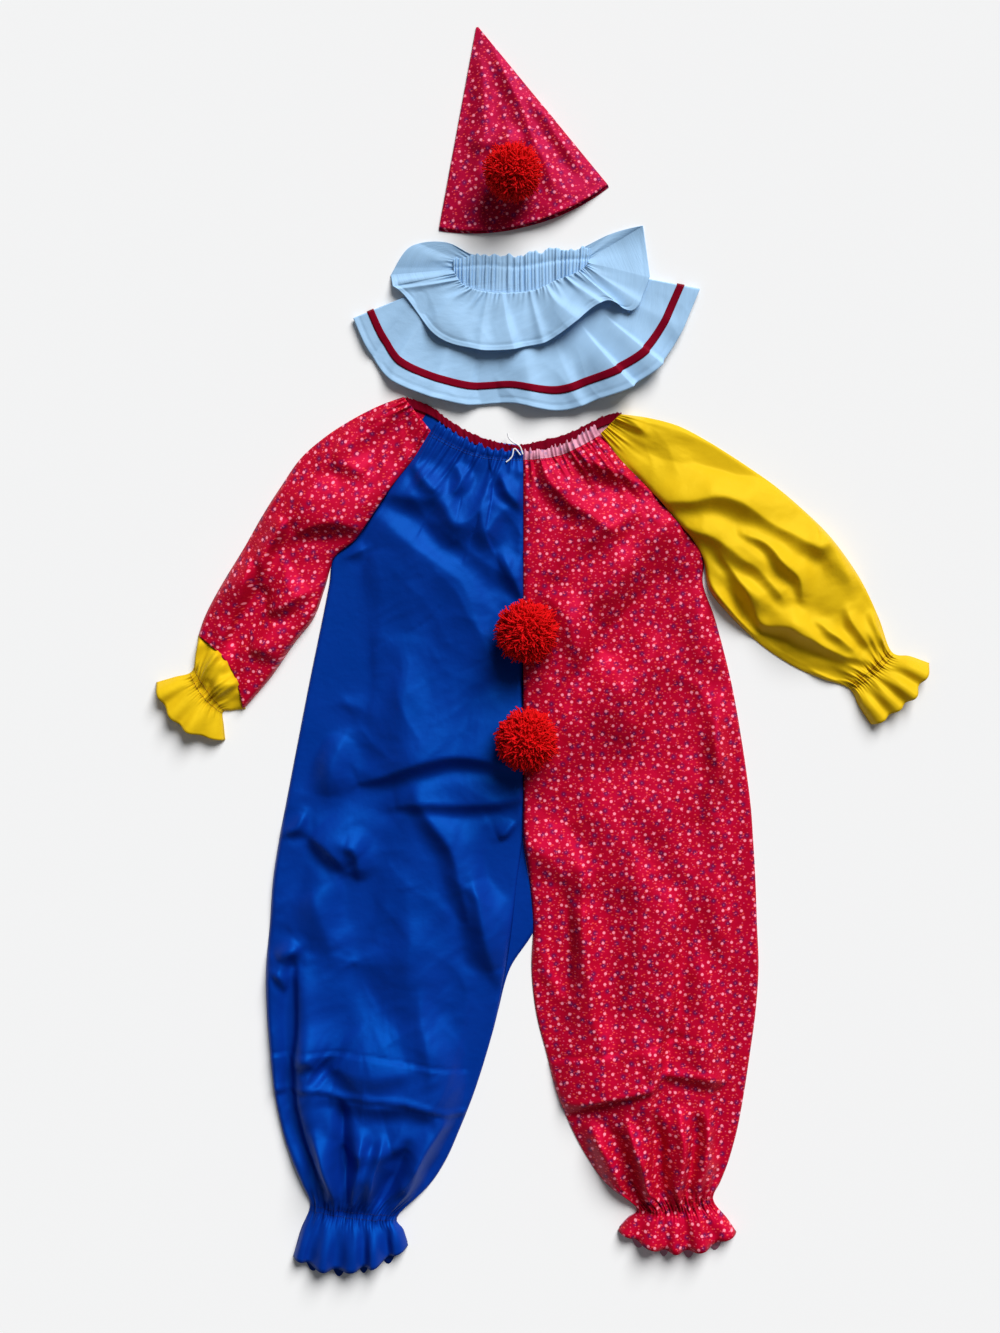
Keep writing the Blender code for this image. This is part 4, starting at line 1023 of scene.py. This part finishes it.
def below_armpit(table):
    """Sections of a sleeve whose two layers meet at their inner edge."""
    rows = []
    for row in table:
        inner = (row.inner_out, row.inner_drop)
        rows.append([row.outer_out, row.outer_drop, *inner, *inner, row.bulge, row.puff, 0.0, 0.0])
    return rows


def sleeve_rows(side, table, below):
    """A sleeve's sections: those sewn to the raglan seam, then those below the armpit."""
    neck = BACK_NECK[side]
    armpit = table[ARMPIT_ROW]
    rows = []
    for index, outer in enumerate(RAGLAN_OUTER[side]):
        row = table[index + GATHER_ROW]
        share = index / (ARMPIT_ROW - GATHER_ROW)
        back_out = neck.outer_out + (armpit.outer_out - neck.outer_out) * share
        back_drop = neck.outer_drop + (armpit.outer_drop - neck.outer_drop) * share
        puff = 2.0 + 9.0 * float(smooth_step(index / 4.0))
        rows.append([*outer, row.outer_out, row.outer_drop, back_out, back_drop, 0.0, puff, row.edge, 1.0])
    return rows + below_armpit(below)


def resampled(rows, step):
    """Sections at even places along a sleeve, with the length down to each and each listed section."""
    where, length = even_places(rows, [0, 1, 2, 3], step)
    listed = np.interp(np.arange(len(rows)), where, length)
    return spline(rows, where), length, listed


class CostumeSizes(bpy.types.PropertyGroup):
    """Sizes and colours of the costume's cloth and trimmings."""

    cloth_thickness: bpy.props.FloatProperty(
        name="Cloth thickness", description="One layer of the shown cloth", default=0.0006, unit="LENGTH")
    blue: bpy.props.FloatVectorProperty(
        name="Blue", description="Cotton of the blue half", default=(0.0004, 0.023, 0.255), size=3,
        subtype="COLOR")
    yellow: bpy.props.FloatVectorProperty(
        name="Yellow", description="Cotton of the yellow sleeve and cuff", default=(0.70, 0.445, 0.006),
        size=3, subtype="COLOR")
    print_ground: bpy.props.FloatVectorProperty(
        name="Print ground", description="Ground colour of the printed cotton",
        default=(0.41, 0.0005, 0.007), size=3, subtype="COLOR")
    # Painted shade: the hat is cut from the same print as the suit, and its darker ground stands for the
    # shade on the hat
    hat_ground_painted_shade: bpy.props.FloatVectorProperty(
        name="Hat ground", description="Ground colour of the hat's print, a shade darker",
        default=(0.24, 0.0005, 0.012), size=3, subtype="COLOR")
    # The ruff is white cotton: its pale blue colour is painted, the blue cast of the light on the white
    # cloth
    white: bpy.props.FloatVectorProperty(
        name="White", description="Cotton of the ruff", default=(0.335, 0.55, 0.80), size=3,
        subtype="COLOR")
    ribbon: bpy.props.FloatVectorProperty(
        name="Ribbon", description="Ribbon and neck casing", default=(0.185, 0.0008, 0.012), size=3,
        subtype="COLOR")
    yarn: bpy.props.FloatVectorProperty(
        name="Yarn", description="Yarn of the pompons", default=(0.80, 0.004, 0.006), size=3,
        subtype="COLOR")
    strand_count: bpy.props.IntProperty(
        name="Strands", description="Yarn ends in one pompon", default=1500)
    strand_width: bpy.props.FloatProperty(
        name="Strand width", description="Thickness of one yarn end", default=0.0024, unit="LENGTH")
    tie_width: bpy.props.FloatProperty(
        name="Tie width", description="Thickness of the neck drawstring", default=0.0018, unit="LENGTH")


def cloth_set(sizes):
    """The cottons, made once and shared by the pieces."""
    if "blue cotton" not in bpy.data.materials:
        cotton("blue cotton", tuple(sizes.blue), roughness=0.55, glow=(0.0, 0.27, 1.0), shine=0.95)
        cotton("yellow cotton", tuple(sizes.yellow), roughness=0.5, glow=(1.0, 0.80, 0.05))
        cotton("printed cotton", tuple(sizes.print_ground), 0.55, (1.0, 0.02, 0.18), 0.9, printed=ditsy)
        # The hat's own copy of the printed cotton, with a darker ground that is painted shade
        cotton("printed cotton, hat, painted shade", tuple(sizes.hat_ground_painted_shade), 0.55, (1.0, 0.02, 0.25), 0.9, printed=ditsy)
        cotton("printed cotton, wrong side", (0.66, 0.27, 0.38), printed=faded_ditsy)
        # White cotton given a painted blue cast of the light
        cotton("white cotton, painted blue cast", tuple(sizes.white), roughness=0.7)
        cotton("crimson ribbon", tuple(sizes.ribbon), roughness=0.6, glow=(0.3, 0.0, 0.03), shine=0.15)
        cotton("casing tape", tuple(sizes.ribbon), roughness=0.7, glow=(0.3, 0.0, 0.03), shine=0.15)
    return bpy.data.materials


def thread_row(name, paths, thread, pitch, length, width, slot):
    """Rows of running stitches along paths (lists of places in mm), joined as one piece."""
    bm = bmesh.new()
    bmesh.ops.create_cone(bm, segments=5, radius1=0.5, radius2=0.5, depth=1.0, cap_ends=True)
    template = bpy.data.meshes.new(name + " stitch")
    bm.to_mesh(template)
    bm.free()
    bm = bmesh.new()
    for path in paths:
        path = np.asarray(path, float)
        along = np.concatenate([[0.0], np.cumsum(np.linalg.norm(np.diff(path, axis=0), axis=1))])
        for start in np.arange(pitch * 0.5, along[-1] - length, pitch):
            first, last = (
                np.array([np.interp(start + further, along, path[:, k]) for k in range(3)])
                for further in (0.0, length)
            )
            middle, run = Vector((first + last) / 2.0), Vector(last - first)
            turn = run.to_track_quat("Z", "Y").to_matrix().to_4x4()
            size = Matrix.Diagonal((width, width, run.length, 1.0))
            seen = len(bm.verts)
            bm.from_mesh(template)
            bm.verts.ensure_lookup_table()
            new = bm.verts[seen:]
            place = Matrix.Scale(MM, 4) @ Matrix.Translation(middle) @ turn @ size
            bmesh.ops.transform(bm, matrix=place, verts=new)
    mesh = bpy.data.meshes.new(name)
    bm.to_mesh(mesh)
    bm.free()
    bpy.data.meshes.remove(template)
    mesh.materials.append(thread)
    keep(add_object(name, mesh), slot)


def on_cloth(points):
    """A path of thread a little above the cloth."""
    path = np.array(points, float)
    path[:, 2] += THREAD_LIFT
    return path


class COSTUME_OT_stage(bpy.types.Operator):
    """Lay the pale floor and set the lights and the camera"""

    bl_idname = "costume.stage"
    bl_label = "Stage"

    def execute(self, context):
        bpy.ops.mesh.primitive_plane_add(size=FLOOR_SIZE, location=(0.0, 0.0, 0.0))
        floor = context.object
        floor.name = "floor"
        floor.data.materials.append(plain("floor", FLOOR_COLOUR, roughness=1.0, shine=0.0))
        sun = bpy.data.lights.new("key", "SUN")
        sun.energy = KEY_POWER
        sun.angle = radians(KEY_SPREAD)
        key = add_object("key", sun)
        key.rotation_mode = "QUATERNION"
        key.rotation_quaternion = Vector(KEY_SIDE).normalized().to_track_quat("Z", "Y")
        world = bpy.data.worlds.new("room")
        world.use_nodes = True
        background = world.node_tree.nodes["Background"]
        background.inputs["Color"].default_value = (*FILL_COLOUR, 1.0)
        background.inputs["Strength"].default_value = FILL_POWER
        context.scene.world = world
        camera = bpy.data.cameras.new("camera")
        camera.lens = CAMERA_LENS
        camera.sensor_width = CAMERA_SENSOR
        camera.clip_end = 20.0
        holder = add_object("camera", camera)
        holder.location = CAMERA_PLACE
        context.scene.camera = holder
        context.scene.view_settings.view_transform = "Standard"
        return {"FINISHED"}


class COSTUME_OT_fronts(bpy.types.Operator):
    """Make both fronts of the jumpsuit with their legs, neck gathers, tucks and ankle ruffles"""

    bl_idname = "costume.fronts"
    bl_label = "Fronts"

    def execute(self, context):
        sizes = context.scene.costume_sizes
        cloths = cloth_set(sizes)
        halves = (
            ("blue", BLUE_SIDE, FRONT_BLUE, CREASES_BLUE, 3, 20, "blue_cotton",
             ("blue cotton",), (0.001, 0.008, 0.10)),
            ("print", PRINT_SIDE, FRONT_PRINT, CREASES_PRINT, 8, 19, "print_cotton",
             ("printed cotton", "printed cotton, wrong side"), (0.25, 0.004, 0.02)),
        )
        for half, side, table, creases, seed, pleats, slot, materials, colour in halves:
            name = "front_" + half
            points, cloth, where = front_grid(side, table, creases, ANKLE_LOBES[side], seed, pleats)
            neck = int(np.argmin(np.abs(where - GATHER_ROW)))
            show_sheet(name, points, cloth, [cloths[m] for m in materials], sizes.cloth_thickness / MM,
                       slot,
                       turned=neck if len(materials) > 1 else 0)
            ankle = int(np.argmin(np.abs(where - ELASTIC_ROW)))
            rows = [on_cloth(points[k]) for k in (neck, neck + 1, ankle - 1, ankle + 1)]
            thread = plain(name + " thread", colour)
            thread_row(name + "_stitches", rows, thread, 3.2, 2.1, 0.55, slot)
        return {"FINISHED"}


class COSTUME_OT_backs(bpy.types.Operator):
    """Make both backs of the jumpsuit, flat on the floor"""

    bl_idname = "costume.backs"
    bl_label = "Backs"

    def execute(self, context):
        sizes = context.scene.costume_sizes
        cloths = cloth_set(sizes)
        for name, side, table, seed, slot, materials in (
            ("back_blue", BLUE_SIDE, FRONT_BLUE, 61, "blue_cotton", ("blue cotton",)),
            ("back_print", PRINT_SIDE, FRONT_PRINT, 67, "print_cotton",
             ("printed cotton, wrong side", "printed cotton")),
        ):
            points, cloth = back_grid(side, table, seed)
            show_sheet(name, points, cloth, [cloths[m] for m in materials], sizes.cloth_thickness / MM,
                       slot)
        return {"FINISHED"}


class COSTUME_OT_sleeves(bpy.types.Operator):
    """Make the printed sleeve, its yellow cuff and the yellow sleeve"""

    bl_idname = "costume.sleeves"
    bl_label = "Sleeves"

    def execute(self, context):
        sizes = context.scene.costume_sizes
        cloths = cloth_set(sizes)
        yellow = [cloths["yellow cotton"]]
        thread = plain("yellow thread", (0.28, 0.09, 0.004))
        thickness = sizes.cloth_thickness / MM

        rows, length, _listed = resampled(sleeve_rows(BLUE_SIDE, FRONT_BLUE, SLEEVE_PRINT), 3.3)
        points, cloth = folded_grid(BLUE_SIDE, rows, length, CREASES_SLEEVE_PRINT, 21, neck=12)
        show_sheet("sleeve_print", points, cloth, [cloths["printed cotton"]], thickness,
                   "print_cotton")

        rows, length, listed = resampled(below_armpit(CUFF_YELLOW), 2.2)
        elastic = listed[CUFF_ELASTIC]
        points, cloth = folded_grid(BLUE_SIDE, rows, length, CREASES_CUFF, 31, elastic=elastic,
                                    lobes=CUFF_LOBES, front=CUFF_ACROSS, back=28)
        inward = points[0, :CUFF_ACROSS] - points[1, :CUFF_ACROSS]
        tucked = CUFF_TUCK * inward / np.linalg.norm(inward, axis=-1)[:, None] - (0.0, 0.0, 1.2)
        points[0, :CUFF_ACROSS] += tucked
        show_sheet("cuff_yellow", points, cloth, yellow, thickness, "yellow_cotton")
        at = int(np.argmin(np.abs(length - elastic)))
        lines = [on_cloth(points[k, :CUFF_ACROSS]) for k in (at - 2, at + 1)]

        rows, length, listed = resampled(sleeve_rows(PRINT_SIDE, FRONT_PRINT, SLEEVE_YELLOW), 3.0)
        elastic = listed[WRIST_ELASTIC]
        points, cloth = folded_grid(PRINT_SIDE, rows, length, CREASES_SLEEVE_YELLOW, 41, elastic=elastic,
                                    lobes=WRIST_LOBES, front=WRIST_ACROSS, neck=13)
        show_sheet("sleeve_yellow", points, cloth, yellow, thickness, "yellow_cotton")
        at = int(np.argmin(np.abs(length - elastic)))
        lines += [on_cloth(points[k, :WRIST_ACROSS]) for k in (at - 1, at + 1)]
        thread_row("wrist_stitches", lines, thread, 3.0, 2.0, 0.6, "yellow_cotton")
        return {"FINISHED"}


def curve_cord(name, places, width, material):
    """A cord through places in mm."""
    curve = bpy.data.curves.new(name, "CURVE")
    curve.dimensions = "3D"
    curve.bevel_depth = width / 2.0
    curve.bevel_resolution = 3
    curve.use_fill_caps = True
    strand = curve.splines.new("POLY")
    strand.points.add(len(places) - 1)
    for point, place in zip(strand.points, places):
        point.co = (*(Vector(place) * MM), 1.0)
    curve.materials.append(material)
    return add_object(name, curve)


class COSTUME_OT_neck(bpy.types.Operator):
    """Make the dark casing tape inside the back neck and the two free ends of the drawstring"""

    bl_idname = "costume.neck"
    bl_label = "Neck casing and ties"

    def execute(self, context):
        sizes = context.scene.costume_sizes
        cloths = cloth_set(sizes)
        along = np.linspace(0.0, 1.0, 181)
        down = np.linspace(0.0, 1.0, 9)[:, None]
        path = sampled(CASING_TOP, along)
        waves = gathers(along, 0.0, 48, 20.0, 91)
        x = CENTRE_X + path[:, 0] * (1.0 - 0.02 * down)
        y = NECK_Y + path[:, 1] - 13.0 * down + 1.7 * waves * (1.0 - down)
        z = 3.1 + 1.5 * waves * hump(0.15 + 0.7 * down)
        points = stack(x, y, z)
        show_sheet("neck_casing", points, laid_out(points), [cloths["casing tape"]], THIN_CLOTH,
                   "casing_tape")

        thread = plain("drawstring", (0.82, 0.83, 0.84), roughness=0.7)
        for name, route in (("tie_left", TIE_LEFT), ("tie_right", TIE_RIGHT)):
            count = (len(route) - 1) * 2 + 1
            path = spline(route, np.linspace(0, len(route) - 1, count))
            places = [(CENTRE_X + right, NECK_Y + up, TIE_HEIGHT) for right, up in path]
            piece = curve_cord(name, places, sizes.tie_width, thread)
            keep(piece, "tie_cord", "neck_" + name)
        return {"FINISHED"}


class COSTUME_OT_pompons(bpy.types.Operator):
    """Make the three yarn pompons, end by end"""

    bl_idname = "costume.pompons"
    bl_label = "Pompons"

    def execute(self, context):
        sizes = context.scene.costume_sizes
        yarn, nodes, links, shader = new_material("pompon yarn", 0.85, 0.1)
        place = nodes.new("ShaderNodeTexCoord").outputs["Object"]
        dark = tuple(c * 0.75 for c in sizes.yarn)
        links.new(mixed(nodes, links, noise(nodes, links, place, 0.004), dark, tuple(sizes.yarn)),
                  shader.inputs["Base Color"])
        fuzz = bump(nodes, links, noise(nodes, links, place, 0.0012), 0.0006)
        links.new(fuzz.outputs["Normal"], shader.inputs["Normal"])
        for number, node in enumerate(("pompon_upper", "pompon_lower", "hat_pompon")):
            low, high = (np.array(corner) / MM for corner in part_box(node))
            self.pompon(node + "_yarn", node, low, high, yarn, sizes, 70 + number)
        return {"FINISHED"}

    def pompon(self, name, node, low, high, yarn, sizes, seed):
        """Short curved yarn ends round a dark core, within the box of one CAD pompon."""
        rng = np.random.default_rng(seed)
        radii = np.array([(high[0] - low[0]) / 2, (high[1] - low[1]) / 2, (high[2] - low[2]) * 0.56])
        centre = np.array([(low[0] + high[0]) / 2, (low[1] + high[1]) / 2, high[2] - radii[2]])
        bm = bmesh.new()
        bmesh.ops.create_cone(bm, segments=5, radius1=0.5, radius2=0.38, depth=1.0, cap_ends=True)
        bmesh.ops.translate(bm, vec=(0.0, 0.0, 0.5), verts=bm.verts)
        sides = [e for e in bm.edges if abs(e.verts[0].co.z - e.verts[1].co.z) > 0.5]
        bmesh.ops.subdivide_edges(bm, edges=sides, cuts=3)
        template = bpy.data.meshes.new(name + " end")
        bm.to_mesh(template)
        bm.free()
        bm = bmesh.new()
        bmesh.ops.create_icosphere(bm, subdivisions=3, radius=1.0)
        for vert in bm.verts:
            vert.co = Vector(centre + np.array(vert.co) * radii * POMPON_CORE)
        golden = pi * (3.0 - 5.0**0.5)
        for index in range(sizes.strand_count):
            z = 1.0 - 1.72 * (index + 0.5) / sizes.strand_count
            turn = golden * index
            flat = (1.0 - z * z) ** 0.5
            direction = np.array([flat * cos(turn), flat * sin(turn), z]) + rng.normal(0.0, 0.07, 3)
            direction /= np.linalg.norm(direction)
            tall = rng.uniform(0.86, 1.06)
            root = centre + direction * radii * POMPON_ROOT
            tip = centre + direction * radii * tall
            run = Vector(tip - root)
            bend = Vector(rng.normal(0.0, 3.2, 3))
            hook = Vector(rng.normal(0.0, 2.6, 3))
            facing = run.to_track_quat("Z", "Y")
            width = sizes.strand_width / MM * rng.uniform(0.8, 1.25)
            seen = len(bm.verts)
            bm.from_mesh(template)
            bm.verts.ensure_lookup_table()
            for vert in bm.verts[seen:]:
                t = vert.co.z
                ring = facing @ Vector((vert.co.x * width, vert.co.y * width, 0.0))
                vert.co = Vector(root) + run * t + bend * sin(pi * t) + hook * t**3 + ring
        floor_z = low[2] + 0.3
        for vert in bm.verts:
            vert.co.z = max(vert.co.z, floor_z)
            vert.co *= MM
        mesh = bpy.data.meshes.new(name)
        bm.to_mesh(mesh)
        bm.free()
        bpy.data.meshes.remove(template)
        mesh.shade_smooth()
        mesh.materials.append(yarn)
        keep(add_object(name, mesh), "red_yarn", node)


def flute_height(flutes, s, t):
    """Folds that run from the neck (t = 0) to the hem (t = 1) of a ruff tier."""
    total = np.zeros(np.broadcast(s, t).shape)
    for flute in flutes:
        centre = flute.neck + (flute.hem - flute.neck) * t
        width = flute.width * (0.45 + 0.55 * t)
        side = np.sign(s - centre)
        away = np.abs(s - centre) / (width * (1.0 - flute.lean * side))
        total += flute.rise * (0.25 + 0.75 * t) * np.exp(-(away**1.7))
    return total


def tier_points(front_rows, back_rows, under_front, under_back, flutes, t, along, seed, spread, lift=0.0):
    """Places of a ruff tier at depths t from neck to hem: its front half, then its back half, as a ring."""
    t = np.asarray(t, float)[:, None]
    along_front, along_back = along
    s = np.linspace(0.0, 1.0, along_front)
    row = sampled(front_rows, s)
    neck, hem, rise = row[:, 0:2], row[:, 2:4], row[:, 4]
    inside = hump(s) ** 0.5
    free = smooth_step((t - 0.2) / 0.8)
    long = np.linalg.norm(hem - neck, axis=1)
    shown = 1.0 if spread else smooth_step((t - 0.36) / 0.42)
    fold = flute_height(flutes, s[None, :], t) * inside * shown
    height = rise * free * inside + fold + RUFF_PLEAT * gathers(s[None, :], t * long, 46, 26.0, seed)
    spot = neck + (hem - neck) * t[..., None]
    away = (hem - neck) / long[:, None]
    spot = spot + away * (0.32 * fold * t)[..., None]
    height = height + 1.1 * crumple(spot[..., 0], spot[..., 1], seed) * free * inside
    height = height + seam_dip((1.0 - t) * long - 7.0, 0.7, 1.6) * free
    height = np.maximum(height, -3.0 * free) + seam_dip((1.0 - t) * long, -0.5, 2.0)
    front = on_ruff(spot, under_front + THIN_WALL + height + lift)

    q = np.linspace(0.0, 1.0, along_back)
    row = sampled(back_rows, q)
    neck, hem = row[:, 0:2], row[:, 2:4]
    spot = neck + (hem - neck) * t[..., None]
    if spread:
        long = np.linalg.norm(hem - neck, axis=1)
        past_neck = t * smooth_step(long / 60.0)
        wave = 1.5 * gathers(q[None, :], t * long, 34, 22.0, seed + 2) + 5.0 * hump(q)[None, :] * past_neck
        wave = wave + 2.4 * np.maximum(np.sin(23.0 * q)[None, :], 0.0) * past_neck
        back = on_ruff(spot, under_back + THIN_WALL + wave)
    else:
        back = on_ruff(spot, under_back + 0.3 - lift)
    sides = []
    for first, second in ((front[:, -1], back[:, 0]), (back[:, -1], front[:, 0])):
        half = (first + second) / 2.0
        if not spread:
            down = half[-1, :2] - half[0, :2]
            outward = np.array([-down[1], down[0]]) / np.linalg.norm(down)
            if outward[0] * (half[0, 0] - RUFF_CENTRE[0]) < 0:
                outward = -outward
            half[:, :2] += outward * (1.5 + 2.0 * lift)
            half[:, 2] = (under_front + under_back + THIN_WALL) / 2.0
        sides.append(half)
    return np.concatenate([front, sides[0][:, None], back, sides[1][:, None], front[:, :1]], axis=1)


class COSTUME_OT_ruff(bpy.types.Operator):
    """Make the gathered neckband, the two tiers of the ruff and the ribbon on the lower one"""

    bl_idname = "costume.ruff"
    bl_label = "Ruff"

    def execute(self, context):
        sizes = context.scene.costume_sizes
        cloths = cloth_set(sizes)
        # The ruff's white cotton, whose pale blue is a painted cast of the light
        white = [cloths["white cotton, painted blue cast"]]
        hem = np.concatenate([np.linspace(0.0, 0.9, 38), np.linspace(0.915, 1.0, 8)])
        lower = (LOWER_FRONT, LOWER_BACK, Z_LOWER_FRONT, Z_LOWER_BACK, LOWER_FLUTES)
        upper = (UPPER_FRONT, UPPER_BACK, Z_UPPER_FRONT, Z_UPPER_BACK, UPPER_FLUTES)
        trim = np.linspace(RIBBON[0], RIBBON[1], 5)
        ribbon = [cloths["crimson ribbon"]]
        for name, tier, depths, along, seed, spread, lift, materials, slot in (
            ("ruff_lower", lower, hem, (420, 120), 51, False, 0.0, white, "white_cotton"),
            ("ruff_upper", upper, hem, (360, 160), 53, True, 1.8, white, "white_cotton"),
            ("ruff_ribbon", lower, trim, (420, 120), 51, False, 0.7, ribbon, "ribbon"),
        ):
            points = tier_points(*tier, depths, along, seed, spread, lift)
            show_sheet(name, points, laid_out(points), materials, sizes.cloth_thickness / MM, slot,
                       looped=True)
        points = self.neckband()
        show_sheet("ruff_neckband", points, laid_out(points), white, THIN_CLOTH, "white_cotton",
                   looped=True)
        return {"FINISHED"}

    def neckband(self):
        """The band behind the neck opening: fine upright gathers with a frayed header above them."""
        t = np.linspace(0.0, 1.0, 26)[:, None]
        q = np.linspace(0.0, 1.0, 260)
        row = sampled(BAND_BACK, q)
        row[:, 0:3:2] *= 1.08
        row[:, 3] -= 12.0
        spot = row[:, 0:2] + (row[:, 2:4] - row[:, 0:2]) * t[..., None]
        pleats = gathers(q[None, :], 0.0, 42, 20.0, 57) + 0 * t
        header = 1.0 - smooth_step(t / 0.2)
        tuft = 3.4 * ripple(q * 200.0, 0.0 * q, 9.0, 58) + 2.2 * ripple(q * 200.0, 0.0 * q, 4.0, 59)
        height = 1.0 + (1.8 + 1.8 * hump(t * 1.1)) * pleats * (1.0 - 0.6 * smooth_step((t - 0.6) / 0.4))
        height = height + header * 2.0 * ripple(q * 200.0, 0.0 * q, 6.0, 60) + seam_dip(t - 0.22, 1.6, 0.05)
        back = on_ruff(spot, Z_BAND_BACK + np.maximum(height, 0.2))
        back[..., 1] += header * (4.0 + tuft)
        row = sampled(BAND_FRONT, np.linspace(0.0, 1.0, 120))
        spot = row[:, 0:2] + (row[:, 2:4] - row[:, 0:2]) * t[..., None]
        front = on_ruff(spot, Z_BAND_FRONT + 0.6)
        return np.concatenate([front, back, front[:, :1]], axis=1)


HAT_CREASES = (
    Crease(((16, 26), (48, 92), (74, 150), (97, 214)), 10, 3.2, 0.2),
    Crease(((6, 40), (10, 110), (4, 200)), 10, 2.5, 0.0),
    Crease(((30, 100), (44, 160), (52, 240)), 11, 3.0, 0.0),
    Crease(((70, 92), (96, 130), (128, 182)), 8, 3.0, 0.2),
    Crease(((-6, 150), (20, 158), (60, 150)), 10, 2.0, 0.3),
)


class COSTUME_OT_hat(bpy.types.Operator):
    """Make the cone hat, pressed flat"""

    bl_idname = "costume.hat"
    bl_label = "Hat"

    def execute(self, context):
        sizes = context.scene.costume_sizes
        cloths = cloth_set(sizes)
        reach = np.linspace(0.006, 1.0, 96)[:, None]
        u = np.linspace(0.0, 1.0, 84)[None, :]
        first, last = radians(HAT_ANGLES[0]), radians(HAT_ANGLES[1])

        def spot(u, reach):
            angle = first + (last - first) * u
            return np.sin(angle) * HAT_SLANT * reach, np.cos(angle) * HAT_SLANT * reach

        right, down = spot(u, reach)
        lift = HAT_PUFF * reach * (1.7 - reach) * hump(u) ** 0.7
        lift = lift + relief(HAT_CREASES, right, down) * smooth_step(reach * 4.0)
        lift = lift * smooth_step(reach * 5.0)
        calm = smooth_step(reach * 3.0) * hump(u) ** 0.5
        lift = lift + 0.8 * calm * crumple(right, down, 81)
        lift = lift + seam_dip((1.0 - reach) * HAT_SLANT - 9.0, 0.8, 1.6)
        front = on_hat(right, down, 2.7 + np.maximum(lift, 0.0))
        sides = []
        for end, turn in ((1.0, 1.0), (0.0, -1.0)):
            right, down = spot(np.array([end]), reach)
            angle = first + (last - first) * end
            sides.append(on_hat(right + turn * cos(angle) * 0.9, down - turn * sin(angle) * 0.9, 1.4))
        v = np.linspace(1.0, 0.0, 40)[None, :]
        longer = 0.012 * smooth_step((reach - 0.8) / 0.2) * (0.25 + 0.75 * np.abs(2 * v - 1))
        back = on_hat(*spot(v, reach * (1.0 + longer)), 0.3)
        points = np.concatenate([front, sides[0], back, sides[1], front[:, :1]], axis=1)
        angle = 0.9 * (u - 0.5)
        flat_front = stack(np.sin(angle) * reach * HAT_SLANT, -np.cos(angle) * reach * HAT_SLANT, 0.0)
        flat = laid_out(points)
        middle = [u.shape[1] // 2]
        cloth = stack(flat[..., 0] - flat[:, middle, 0], flat[:, middle, 1], 0.0)[..., :2]
        cloth[:, : u.shape[1]] = flat_front[..., :2]
        # The hat wears the darker copy of the print, whose darker ground is painted shade
        show_sheet("hat_cone", points, cloth, [cloths["printed cotton, hat, painted shade"]], sizes.cloth_thickness / MM,
                   "print_cotton", looped=True)
        return {"FINISHED"}


class COSTUME_PT_panel(bpy.types.Panel):
    """Lists the costume's builders in the sidebar"""

    bl_label = "Clown costume"
    bl_idname = "COSTUME_PT_panel"
    bl_space_type = "VIEW_3D"
    bl_region_type = "UI"
    bl_category = "Costume"

    def draw(self, context):
        sizes = context.scene.costume_sizes
        for name in CostumeSizes.__annotations__:
            self.layout.prop(sizes, name)
        for step in STEPS:
            self.layout.operator(step.bl_idname)


STEPS = (
    COSTUME_OT_stage,
    COSTUME_OT_backs,
    COSTUME_OT_fronts,
    COSTUME_OT_sleeves,
    COSTUME_OT_neck,
    COSTUME_OT_pompons,
    COSTUME_OT_ruff,
    COSTUME_OT_hat,
)
CLASSES = (CostumeSizes, *STEPS, COSTUME_PT_panel)


def register():
    for kind in CLASSES:
        bpy.utils.register_class(kind)
    bpy.types.Scene.costume_sizes = bpy.props.PointerProperty(type=CostumeSizes)


def unregister():
    del bpy.types.Scene.costume_sizes
    for kind in reversed(CLASSES):
        bpy.utils.unregister_class(kind)


def main():
    """Build every piece."""
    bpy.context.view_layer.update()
    register()
    for step in STEPS:
        group, operation = step.bl_idname.split(".")
        getattr(getattr(bpy.ops, group), operation)()


if __name__ == "__main__":
    main()
